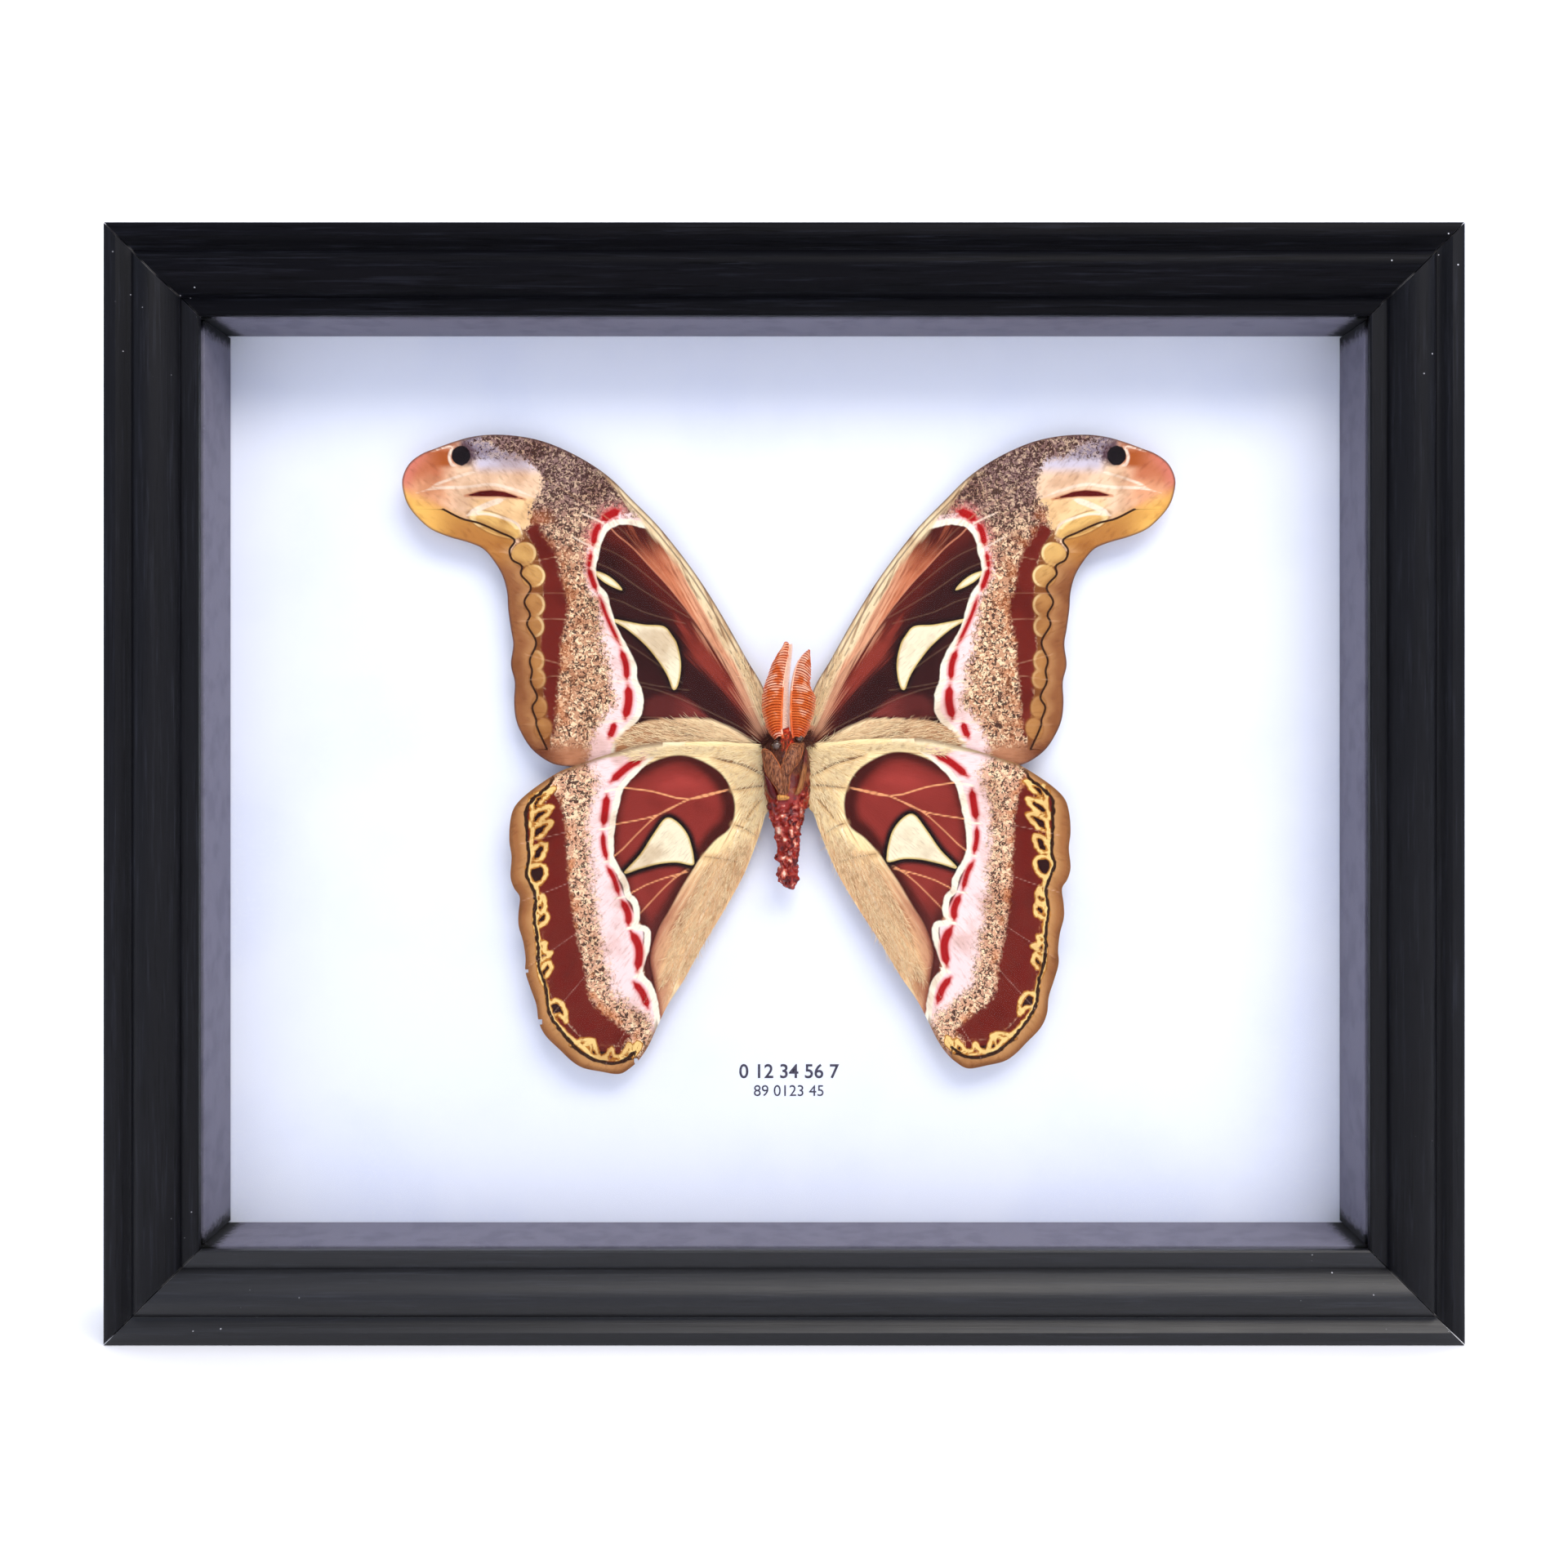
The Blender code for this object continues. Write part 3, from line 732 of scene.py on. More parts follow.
# strokes: half width, then the points along the middle
FORE_RED_DASHES = (
    (1.0, ((48.9, 62.5), (46.8, 63.9), (44.3, 65.0))),
    (0.75, ((49.3, 61.8), (50.6, 59.3), (51.2, 55.8))),
    (0.5, ((51.7, 54.0), (52.0, 51.8), (52.3, 49.9))),
    (0.65, ((52.3, 49.9), (51.3, 46.8), (50.3, 44.2))),
    (0.45, ((49.4, 42.6), (47.8, 37.8), (45.5, 32.6), (44.1, 29.8))),
    (0.75, ((43.9, 28.6), (42.6, 24.7), (42.4, 20.6))),
    (1.0, ((42.1, 19.4), (41.9, 15.0), (42.9, 10.5))),
    (0.8, ((45.6, 9.6), (46.1, 7.6), (47.0, 5.6))),
)
FORE_PALE_STREAKS = (
    (0.35, ((93.7, 70.7), (91.8, 71.7), (86.6, 73.6), (80.7, 75.3))),
    (0.4, ((97.0, 69.4), (91.8, 70.7), (84.0, 71.0), (77.4, 71.7), (70.9, 70.1), (65.7, 68.1))),
    (0.75, ((84.0, 63.7), (81.4, 65.1), (78.1, 66.6), (73.9, 68.0))),
    (0.4, ((87.2, 81.7), (88.4, 79.2), (87.9, 77.0), (86.4, 76.4))),
    (0.3, ((93.1, 80.2), (90.5, 81.1), (87.5, 81.7))),
    (0.35, ((84.0, 63.5), (79.4, 64.1), (74.8, 63.1), (70.9, 61.4), (69.5, 58.6))),
    (0.25, ((54.5, 64.5), (50.0, 62.5), (47.5, 61.0))),
    (0.2, ((57.0, 58.5), (53.5, 56.5), (50.6, 55.2))),
    (0.2, ((47.8, 20.2), (44.5, 20.4), (41.0, 20.6))),
    (0.3, ((50.5, 9.6), (46.0, 9.9), (42.0, 10.2))),
)
FORE_SLIT = (
    (84.6, 68.7), (80.7, 69.9), (77.4, 70.2), (74.2, 69.8), (68.6, 67.8), (72.2, 68.3), (75.5, 68.6),
    (78.7, 68.6),
)
FORE_HEAD = (
    (82.8, 86.0), (75.5, 80.8), (68.3, 78.2), (65.1, 74.3), (64.4, 69.7), (67.0, 65.8), (68.0, 61.2),
    (70.3, 56.7), (72.9, 54.0),
)
FORE_YELLOW_EDGE = (
    (103.0, 71.5), (99.6, 69.7), (97.0, 68.4), (93.1, 66.5), (89.2, 64.9), (84.6, 63.2), (70.0, 58.0),
)
FORE_VEINS = (
    (
        (7.5, 8.0), (17.0, 26.0), (27.0, 41.0), (36.0, 52.0), (46.0, 62.0), (54.5, 67.5), (63.0, 73.0),
        (74.0, 78.0),
    ),
    ((21.5, 33.0), (31.8, 43.5), (43.0, 52.5), (50.6, 56.0), (57.0, 58.5), (66.0, 62.0)),
    ((26.0, 37.0), (38.0, 44.0), (47.0, 50.0), (58.0, 53.0), (69.5, 51.0)),
    ((27.0, 35.5), (38.0, 38.5), (46.0, 42.0), (60.0, 43.5), (71.0, 43.0)),
    ((28.0, 20.0), (36.0, 26.0), (44.0, 31.0), (58.0, 36.5), (70.5, 36.0)),
    ((26.0, 18.0), (36.0, 19.5), (44.0, 21.5), (58.0, 24.5), (69.0, 27.5)),
    ((8.0, 6.0), (22.0, 13.0), (34.0, 18.0), (44.0, 19.8), (57.0, 22.0), (69.0, 20.5)),
    ((8.0, 5.0), (22.0, 9.5), (36.0, 11.0), (48.0, 10.5), (60.0, 9.0), (69.0, 9.0)),
)
print("forewing points", len(FOREWING))

# %% [markdown]
# The hindwing has the same scheme: a maroon disc with one clear window, a scalloped white line, a
# pink and speckled band, a maroon band with yellow links along it, and a tan margin.

# %% Hindwing shapes
HINDWING = (
    (4.6, 3.0), (13.8, 4.3), (19.9, 4.7), (29.0, 4.5), (35.1, 4.3), (41.3, 3.0), (48.6, 0.9), (54.7, -1.3),
    (59.6, -3.1), (64.5, -6.2), (68.8, -9.5), (71.5, -12.6), (72.5, -16.3), (72.7, -21.1), (72.1, -25.4),
    (72.4, -30.3), (71.5, -33.4), (70.0, -35.8), (70.3, -39.5), (70.3, -43.2), (69.1, -47.4), (68.5, -51.7),
    (68.5, -55.4), (67.2, -59.6), (65.7, -63.9), (65.1, -68.2), (63.3, -71.9), (59.6, -75.6), (56.5, -78.6),
    (53.5, -80.4), (49.2, -81.3), (44.3, -82.0), (41.3, -80.4), (38.8, -78.0), (36.4, -74.3), (33.9, -68.8),
    (31.5, -63.9), (27.2, -57.2), (22.9, -49.3), (18.0, -41.3), (14.4, -35.1), (11.3, -29.1), (8.9, -23.0),
    (7.1, -17.9), (6.2, -14.6), (4.6, -12.0), (4.4, -5.0),
)
HIND_WHITE_LINE = (
    (33.0, 3.2), (35.8, 0.9), (38.8, -1.6), (43.7, -7.1), (44.9, -10.7), (45.9, -15.6), (46.5, -21.1),
    (46.2, -26.0), (44.6, -29.1), (42.8, -32.1), (41.9, -35.5), (40.1, -37.6), (39.7, -41.3), (41.0, -43.5),
    (37.3, -44.4), (37.0, -48.0), (38.2, -52.3), (39.1, -56.0), (36.4, -59.0), (35.2, -62.7), (34.3, -68.2),
    (34.0, -72.0),
)
HIND_BAND_INNER = (
    (60.2, -9.5), (58.4, -16.8), (57.8, -26.0), (56.9, -35.1), (55.6, -44.4), (53.5, -53.5), (51.7, -62.7),
    (46.2, -68.2), (41.3, -71.8),
)
HIND_BAND_OUTER = (
    (63.0, -7.7), (64.2, -16.8), (64.8, -26.0), (65.4, -33.4), (64.2, -44.4), (63.0, -54.1), (62.4, -60.2),
    (58.4, -67.6), (54.7, -71.9), (50.5, -74.3), (43.7, -74.9),
)
HIND_BLACK_LINE = (
    (61.5, -4.8), (62.7, -7.1), (67.9, -12.0), (68.2, -18.7), (67.6, -26.0), (68.2, -29.7), (66.0, -35.8),
    (66.3, -41.3), (65.4, -46.8), (65.1, -53.5), (63.3, -59.6), (62.1, -66.4), (57.8, -72.5), (53.5, -76.8),
    (48.6, -78.9), (43.7, -78.9), (40.1, -76.2),
)
HIND_LOOPS = (
    (
        (66.5, -14.4), (66.8, -11.4), (65.4, -9.2), (63.3, -8.2), (61.1, -7.5), (62.7, -9.2), (64.0, -10.7),
        (65.7, -12.1),
    ),
    (
        (67.0, -16.6), (66.5, -14.1), (64.2, -12.7), (61.6, -12.2), (62.7, -13.9), (64.4, -15.6),
        (66.6, -16.7),
    ),
    (
        (66.8, -20.5), (66.3, -17.8), (63.9, -16.4), (61.8, -16.3), (62.8, -18.0), (64.4, -19.9),
        (66.5, -20.8),
    ),
    (
        (66.7, -26.0), (66.2, -23.3), (65.0, -22.2), (63.3, -22.0), (63.5, -24.0), (64.6, -25.9),
        (66.5, -26.4),
    ),
    (
        (67.9, -30.2), (67.2, -28.1), (65.1, -27.3), (63.3, -28.1), (63.4, -30.4), (65.0, -32.3),
        (66.7, -32.4), (67.9, -30.2),
    ),
    ((66.0, -36.4), (65.0, -37.8), (64.1, -35.3), (63.4, -38.3), (64.9, -39.9), (65.7, -38.3)),
    (
        (66.0, -44.7), (65.7, -41.4), (63.8, -39.6), (62.8, -40.6), (63.3, -42.4), (64.9, -43.4),
        (65.6, -44.7),
    ),
    (
        (65.4, -50.5), (65.0, -48.4), (63.3, -47.9), (63.7, -50.0), (61.9, -50.4), (63.8, -52.0),
        (65.1, -52.9),
    ),
    ((65.0, -56.6), (64.4, -54.4), (62.6, -52.8), (61.9, -54.3), (62.9, -56.1), (64.3, -57.2)),
    (
        (62.6, -65.5), (62.2, -63.6), (60.4, -62.7), (58.5, -64.4), (58.0, -68.2), (59.6, -66.5),
        (61.9, -66.5),
    ),
    ((56.9, -74.5), (54.0, -73.2), (50.8, -73.4), (53.4, -74.5), (52.8, -76.0)),
    (
        (51.7, -76.2), (51.1, -73.7), (50.1, -75.6), (49.2, -78.0), (47.4, -77.1), (46.2, -75.6),
        (45.4, -77.4), (43.7, -77.1),
    ),
    (
        (44.9, -78.7), (42.8, -76.2), (41.5, -74.3), (41.0, -76.7), (39.3, -73.8), (38.8, -75.2),
        (40.7, -77.8),
    ),
)
HIND_INNER_LINE = (
    (66.0, -8.5), (67.4, -9.8), (66.9, -13.8), (67.3, -17.2), (66.8, -18.8), (67.2, -23.6), (67.2, -26.0),
    (67.9, -29.7), (66.6, -32.5), (65.6, -33.4), (65.8, -37.0), (66.0, -41.9), (65.2, -46.2), (65.1, -50.5),
    (64.9, -55.4), (63.2, -59.7), (62.5, -63.9), (61.4, -67.3), (59.2, -70.1), (56.2, -73.1), (52.9, -75.7),
    (51.1, -77.4), (46.2, -78.3), (43.7, -78.1), (40.5, -76.6),
)
HIND_RED_DASHES = (
    (0.9, ((37.9, 0.3), (41.9, -1.9), (46.5, -5.9))),
    (0.9, ((47.4, -9.2), (47.9, -13.8), (48.3, -17.4))),
    (0.6, ((48.4, -19.0), (48.3, -22.4), (47.4, -26.2))),
    (0.6, ((47.4, -27.9), (45.6, -30.9), (44.3, -35.4))),
    (0.85, ((43.6, -36.7), (41.9, -40.1), (41.8, -43.4))),
    (1.0, ((41.3, -44.7), (39.4, -48.0), (39.0, -51.1), (39.6, -55.3))),
    (0.85, ((40.5, -58.1), (38.2, -60.9), (36.7, -64.8))),
)
HIND_PALE_STREAKS = (
    (0.3, ((48.5, -8.6), (46.5, -8.0), (43.5, -7.4))),
    (0.3, ((49.8, -18.2), (47.6, -18.0), (45.6, -17.4))),
    (0.25, ((48.4, -26.8), (46.6, -26.4), (45.4, -26.0))),
    (0.25, ((45.8, -36.2), (43.6, -36.0), (41.2, -35.6))),
    (0.35, ((42.8, -44.2), (40.6, -43.8), (38.4, -43.4))),
    (0.35, ((40.8, -57.0), (39.0, -56.4), (37.6, -55.4))),
    (0.22, ((17.0, -27.0), (24.0, -44.0), (31.5, -62.0))),
    (0.2, ((12.0, -14.0), (16.0, -27.0), (22.0, -40.0))),
)
HIND_CREASES = (
    (0.3, ((5.6, -4.6), (8.6, -3.0), (12.0, -1.4), (16.0, -0.4), (19.6, 0.4))),
    (0.24, ((5.6, -6.8), (9.0, -7.1), (14.6, -7.9))),
    (0.16, ((6.6, -9.6), (9.4, -13.0), (11.8, -16.6))),
    (0.14, ((8.4, -20.0), (11.5, -18.0), (14.5, -17.0))),
    (0.14, ((12.5, -27.0), (17.0, -26.0), (22.0, -25.4))),
)
# x, height, half width, half height, tilt in degrees
HIND_NICKS = ((68.9, -55.1, 1.0, 0.45, -15), (65.3, -68.5, 1.0, 0.5, -20), (39.6, -78.9, 0.4, 0.9, -30))
HIND_COSTAL_EDGE = (
    (70.0, -8.0), (63.0, -4.6), (57.2, -2.5), (52.3, -0.7), (47.4, 0.5), (41.3, 1.5), (35.2, 2.6),
    (27.0, 3.0),
)
HIND_DISC = (
    (38.8, -2.5), (32.7, 0.3), (27.2, 0.9), (21.7, -1.0), (17.5, -4.0), (15.0, -8.3), (14.2, -13.0),
    (15.4, -17.8), (19.3, -21.1), (22.9, -25.3), (25.4, -29.1), (28.4, -34.0), (31.4, -39.5), (34.2, -44.4),
    (36.2, -51.5), (35.0, -59.0), (33.8, -68.0), (35.4, -62.0), (37.2, -57.0), (38.0, -50.0), (38.0, -44.0),
    (41.5, -38.0), (44.5, -31.0), (46.8, -24.0), (46.0, -14.0), (43.5, -6.0),
)
HIND_WINDOW = (
    (32.1, -15.3), (29.1, -16.3), (26.6, -19.3), (25.4, -22.5), (24.8, -25.6), (25.1, -27.6), (29.2, -26.9),
    (34.0, -27.3), (38.8, -28.5), (43.1, -29.7), (38.8, -24.8), (35.2, -19.3),
)
HIND_VEINS = (
    ((6.5, -5.5), (15.0, -7.7), (26.0, -10.4), (35.8, -8.3), (42.5, -7.4), (52.0, -6.0)),
    ((6.5, -5.5), (15.0, -7.7), (26.0, -10.4), (34.0, -14.4), (43.7, -16.6), (56.0, -18.5), (70.0, -22.0)),
    ((26.0, -10.4), (34.0, -14.4), (40.0, -19.9), (45.6, -25.3), (57.0, -32.0), (70.0, -37.0)),
    ((25.4, -29.1), (32.2, -30.9), (40.7, -34.6), (55.0, -45.0), (68.0, -54.0)),
    ((22.0, -26.0), (29.7, -30.9), (37.6, -38.9), (50.0, -53.0), (63.0, -68.0)),
    ((6.5, -8.0), (16.0, -24.0), (26.0, -42.0), (34.5, -58.0), (42.0, -70.0), (48.0, -80.0)),
)
print("hindwing points", len(HINDWING))

# %% [markdown]
# A wing is a thin sheet. It starts as a flat grid, the part outside the outline is deleted, the rim
# is drawn onto the outline, and the sheet is given its camber, raised veins and thickness. The fine
# grid also carries the markings: each point stores how far it is from every marking, and the paint
# turns those distances into crisp edges.

# %% Wing sheet
VEIN_HEIGHT = 0.16
WING_THICKNESS = 0.4


def flat_grid(name, low, high, pitch):
    """A grid in the XZ plane, in millimetres, that covers low to high."""
    size = np.array(high) - np.array(low)
    counts = np.ceil(size / pitch).astype(int)
    bpy.ops.mesh.primitive_grid_add(x_subdivisions=int(counts[0]), y_subdivisions=int(counts[1]), size=1)
    sheet = bpy.context.object
    sheet.name = name
    sheet.rotation_euler = (pi / 2, 0, 0)
    sheet.scale = (*size, 1)
    centre = (np.array(high) + np.array(low)) / 2
    sheet.location = (centre[0], 0, centre[1])
    return settle(sheet)


def trim_to(sheet, outline, pitch):
    """Deletes what lies outside the outline and draws the new rim onto it."""
    spots = read_points(sheet.data)[:, [0, 2]]
    select_points(sheet, depth_in(outline, spots) < -0.4 * pitch)
    bpy.ops.mesh.delete(type="VERT")
    bpy.ops.mesh.select_all(action="DESELECT")
    bpy.ops.mesh.select_non_manifold()
    leave_edit()
    rim = np.empty(len(sheet.data.vertices), bool)
    sheet.data.vertices.foreach_get("select", rim)
    points = read_points(sheet.data)
    ends = np.vstack([outline, outline[:1]])
    starts, steps = ends[:-1], np.diff(ends, axis=0)
    for index in np.flatnonzero(rim):
        spot = points[index, [0, 2]]
        shares = np.clip(((spot - starts) * steps).sum(1) / (steps ** 2).sum(1), 0, 1)
        places = starts + shares[:, None] * steps
        points[index, [0, 2]] = places[np.argmin(((places - spot) ** 2).sum(1))]
    write_points(sheet.data, points)
    return sheet


def store(mesh, name, first, second=0.0, third=0.0):
    """Keeps three values on every point of a mesh, for the paint to read."""
    values = np.empty((len(mesh.vertices), 3), np.float32)
    for channel, value in enumerate((first, second, third)):
        values[:, channel] = value
    mesh.attributes.new(name, "FLOAT_VECTOR", "POINT").data.foreach_set("vector", values.ravel())


def nearest_of(runs, spots):
    best = np.full(len(spots), 1e9)
    for run in runs:
        best = np.minimum(best, distance_to(smooth_run(run, steps=3), spots)[0])
    return best


def make_sheet(name, outline_points, root_layer, veins):
    """A wing in millimetres, at its depth behind the frame's front, with veins raised to the glass."""
    outline = smooth_run(outline_points, closed=True, steps=4)
    low = outline.min(0) - WING_PITCH
    high = outline.max(0) + WING_PITCH
    sheet = trim_to(flat_grid(name, low, high, WING_PITCH), outline, WING_PITCH)
    points = read_points(sheet.data)
    spots = points[:, [0, 2]]
    rim_gap, _ = distance_to(outline, spots, closed=True)
    vein_gap = nearest_of(veins, spots)
    store(sheet.data, "edges", rim_gap, vein_gap)
    store(sheet.data, "place", spots[:, 0], spots[:, 1])
    root = np.array((4.0, 2.0))
    arm = spots - root
    reach = np.linalg.norm(arm, axis=1)
    angle = np.arctan2(arm[:, 1], arm[:, 0])
    store(sheet.data, "flow", angle * 45, reach)
    ridge = VEIN_HEIGHT * np.exp(-(vein_gap / 0.45) ** 2)
    swell = 0.22 * np.sin(angle * 26) * np.clip(reach / 60, 0, 1) * np.clip(rim_gap / 3, 0.3, 1)
    points[:, 1] = root_layer - CAMBER * (np.abs(spots[:, 0]) / 100) ** 1.5 - ridge - swell
    write_points(sheet.data, points)
    return sheet, spots

# %% [markdown]
# Each sheet now stores its markings. Every marking becomes a distance on the sheet's points, three to
# an attribute. The two kinds of wing have a function each, because their patterns differ.

# %% Markings on the sheets
def forewing_sheet():
    sheet, spots = make_sheet("forewing", FOREWING, FOREWING_LAYER, FORE_VEINS)
    mesh = sheet.data
    past_white, along = beyond(smooth_run(FORE_WHITE_LINE), ((200, -40), (200, 120), (36, 120)), spots)
    band = depth_in(np.vstack([smooth_run(FORE_BAND_INNER), smooth_run(FORE_BAND_OUTER)[::-1]]), spots)
    past_black, _ = beyond(smooth_run(FORE_BLACK_LINE), ((200, 2.6), (200, 65.2)), spots)
    store(mesh, "bands", past_white, band, past_black)
    windows = np.maximum(
        depth_in(smooth_run(FORE_WINDOW, closed=True), spots),
        depth_in(smooth_run(FORE_ALMOND, closed=True), spots)
    )
    strip, _ = beyond(smooth_run(FORE_STRIP_EDGE), ((-30, 9), (-30, 120), (60, 120)), spots)
    store(mesh, "patches", oval_depth(FORE_OVALS, spots), windows, strip)
    fur, _ = beyond(smooth_run(FORE_FUR_EDGE), ((7, -30), (60, -30)), spots)
    past_band, _ = beyond(smooth_run(FORE_BAND_OUTER), ((62, -20), (200, -20), (200, 70)), spots)
    costal, _ = beyond(smooth_run(FORE_MAIN_VEIN), ((-40, 8), (-40, 120), (47, 120)), spots)
    middle_red = depth_in(smooth_run(FORE_MIDDLE_RED, closed=True), spots)
    lower_red = depth_in(smooth_run(FORE_LOWER_RED, closed=True), spots)
    store(mesh, "fields", costal, middle_red, lower_red)
    head, _ = beyond(smooth_run(FORE_HEAD), ((200, 54), (200, 140), (82.8, 140)), spots)
    spot = oval_depth(((85.4, 79.2, 2.45, 2.6, 0),), spots)
    slit = depth_in(np.array(FORE_SLIT), spots)
    store(mesh, "head", head, spot, slit)
    yellow, _ = beyond(smooth_run(FORE_YELLOW_EDGE), ((70, 20), (130, 20), (130, 71.5)), spots)
    store(
        mesh, "strokes", stroke_depth(FORE_RED_DASHES, spots), stroke_depth(FORE_PALE_STREAKS, spots),
        yellow,
    )
    store(mesh, "areas", fur, past_band, along)
    return sheet


def hindwing_sheet():
    sheet, spots = make_sheet("hindwing", HINDWING, HINDWING_LAYER, HIND_VEINS)
    mesh = sheet.data
    past_white, along = beyond(
        smooth_run(HIND_WHITE_LINE), ((34, -120), (200, -120), (200, 40), (33, 40)), spots
    )
    band = depth_in(np.vstack([smooth_run(HIND_BAND_INNER), smooth_run(HIND_BAND_OUTER)[::-1]]), spots)
    past_black, _ = beyond(smooth_run(HIND_BLACK_LINE), ((40, -120), (200, -120), (200, 0)), spots)
    store(mesh, "bands", past_white, band, past_black)
    loops = stroke_depth([(0.4, loop) for loop in HIND_LOOPS] + [(0.46, HIND_INNER_LINE)], spots)
    loop_cores = np.max([depth_in(np.array(loop), spots) for loop in HIND_LOOPS], axis=0)
    window = depth_in(smooth_run(HIND_WINDOW, closed=True), spots)
    disc = depth_in(smooth_run(HIND_DISC, closed=True), spots)
    store(mesh, "patches", loops, window, disc)
    past_band, _ = beyond(smooth_run(HIND_BAND_OUTER), ((43, -120), (200, -120), (200, 0)), spots)
    costal, _ = beyond(smooth_run(HIND_COSTAL_EDGE), ((27, 60), (120, 60), (120, -8)), spots)
    store(mesh, "areas", loop_cores, past_band, costal)
    # The creases are real folds in the wing; the paint lays shade along them.
    creases = stroke_depth(HIND_CREASES, spots)
    store(
        mesh, "strokes", stroke_depth(HIND_RED_DASHES, spots), stroke_depth(HIND_PALE_STREAKS, spots),
        creases,
    )
    return sheet


forewing = forewing_sheet()
hindwing = hindwing_sheet()
print("wing sheets", len(forewing.data.vertices), len(hindwing.data.vertices))

# %% [markdown]
# The wings' colour is scales on a thin membrane. The paint is laid in the order that the pattern
# reads: ground, then speckle, bands and lines, then the pale strip along the front edge and the rim.

# %% Shared wing coats
CREAM = linear(240, 214, 170)
DARK_MAROON = linear(50, 17, 15)
DISC_MAROON = linear(138, 46, 38)
WHITE_LINE = linear(254, 240, 216)
RED_LINE = linear(170, 18, 20)
PINK = linear(255, 220, 216)
SPECK_DARK = linear(66, 38, 32)
SPECK_CREAM = linear(252, 218, 176)
BAND_MAROON = linear(108, 29, 18)
BLACK_LINE = linear(52, 26, 12)
WINDOW = linear(246, 230, 196)
WINDOW_RIM = linear(214, 184, 112)
NEAR_BLACK = linear(26, 11, 12)


def speckle(paint, share, ground, crowd=0.0, cream=1.0):
    """Dark and cream flecks on a ground. crowd packs the dark ones, cream strengthens the pale ones."""
    paint.coat(ground, share)
    pale = paint.noise(1.15, detail=1.5, twist=0.9)
    paint.coat(SPECK_CREAM, paint.rise(pale, 0.51, 0.56), share, cream)
    dark = paint.add(paint.noise(0.95, detail=2, rough=0.6, twist=1.3), paint.times(crowd, 0.07))
    paint.coat(SPECK_DARK, paint.rise(dark, 0.515, 0.55), share, 0.94)


def scale_relief(paint, streaks):
    """Fine rows of scales across the wing and streaks along it, as a light wash and as relief."""
    flow = paint.attribute("flow")
    fine = paint.noise(0.4, vector=flow, detail=3, stretch=(1.0, 0.14, 1.0))
    paint.tint(linear(232, 226, 222), paint.rise(fine, 0.5, 0.72))
    paint.tint(linear(226, 214, 206), paint.rise(paint.noise(9, detail=3), 0.48, 0.7))
    grain = paint.noise(0.24, detail=2)
    paint.bump(
        paint.add(paint.times(fine, 0.8), paint.times(grain, 0.6), paint.times(streaks, 0.6)), 0.1, 0.7
    )


def along_wing(paint, size, reach=0.06, detail=3):
    """Noise drawn out along the lines that run from the wing's root."""
    return paint.less(
        paint.noise(size, vector=paint.attribute("flow"), detail=detail, stretch=(1.0, reach, 1.0)), 0.5
    )


def lay_lines(paint, past_white, red, windows):
    """The coats both wings share: windows with their rims, the white line and the red dashes."""
    paint.coat(WINDOW_RIM, paint.rise(windows, -0.1, 0.1))
    paint.coat(WINDOW, paint.rise(windows, 0.1, 0.7))
    paint.coat(
        linear(226, 204, 166), paint.rise(windows, 1.2, 3.4), paint.rise(paint.noise(3), 0.4, 0.6), 0.4
    )
    wavering = paint.add(past_white, paint.times(paint.less(paint.noise(2.5, detail=3), 0.5), 0.9))
    paint.coat(WHITE_LINE, paint.between(wavering, -0.85, 0.75, 0.45))
    paint.coat(linear(214, 74, 72), paint.rise(red, -0.95, 0.1), 0.7)
    paint.coat(RED_LINE, paint.rise(red, -0.2, 0.25))


def read_masks(paint, groups):
    """The distances that the sheet carries, by name: positive inside a marking, negative outside."""
    wing = SimpleNamespace()
    for attribute, names in groups.items():
        for channel, name in enumerate(names):
            setattr(wing, name, paint.attribute(attribute, channel))
    return wing

# %% [markdown]
# The forewing's paint goes on from the back of the pattern to the front: speckle, the dark discal
# area, the bands, the snake's head at the tip, then the small marks and the fur. Each part of the
# pattern is one function.

# %% Forewing finish
FOREWING_MASKS = {
    "bands": ("past_white", "band", "past_black"),
    "patches": ("ovals", "windows", "strip"),
    "areas": ("fur", "past_band"),
    "fields": ("costal", "middle_red", "lower_red"),
    "head": ("head", "spot", "slit"),
    "strokes": ("red", "pale", "yellow"),
    "place": ("out", "up"),
    "edges": ("rim", "veins"),
}


def speckle_forewing(paint, wing):
    """The speckled field, pink next to the red line and wider there low down."""
    paint.ground(PINK)
    start = paint.add(0.7, paint.times(paint.rise(wing.up, 44, 18), 4.6))
    share = paint.rise(paint.waver(paint.less(wing.past_white, start), wing.grain, 8.0), -0.3, 2.4)
    height = paint.rise(paint.waver(wing.up, wing.lumps, 16), 44, 74)
    field = paint.mix(linear(206, 152, 116), linear(140, 108, 102), height)
    paleness = paint.less(1.0, paint.times(height, 0.62))
    speckle(paint, share, field, paint.waver(paint.times(height, 0.5), wing.lumps, 1.2), paleness)
    paint.coat(
        linear(196, 108, 52), paint.rise(wing.band, -6.5, -1.0), share, paint.rise(wing.lumps, -0.05, 0.1),
        0.45,
    )
    blush = paint.times(paint.rise(wing.red, -3.4, 0.0), paint.rise(wing.up, 46, 58))
    paint.coat(linear(222, 132, 124), blush, paint.rise(wing.grain, -0.12, 0.1), 0.8)

# %% [markdown]
# Inside the white line the real wing is dark maroon, with a red glow between its veins. Each glow is
# a stored distance with a soft edge, drawn out along the wing by streaky noise, so that it looks
# brushed and not cut out.

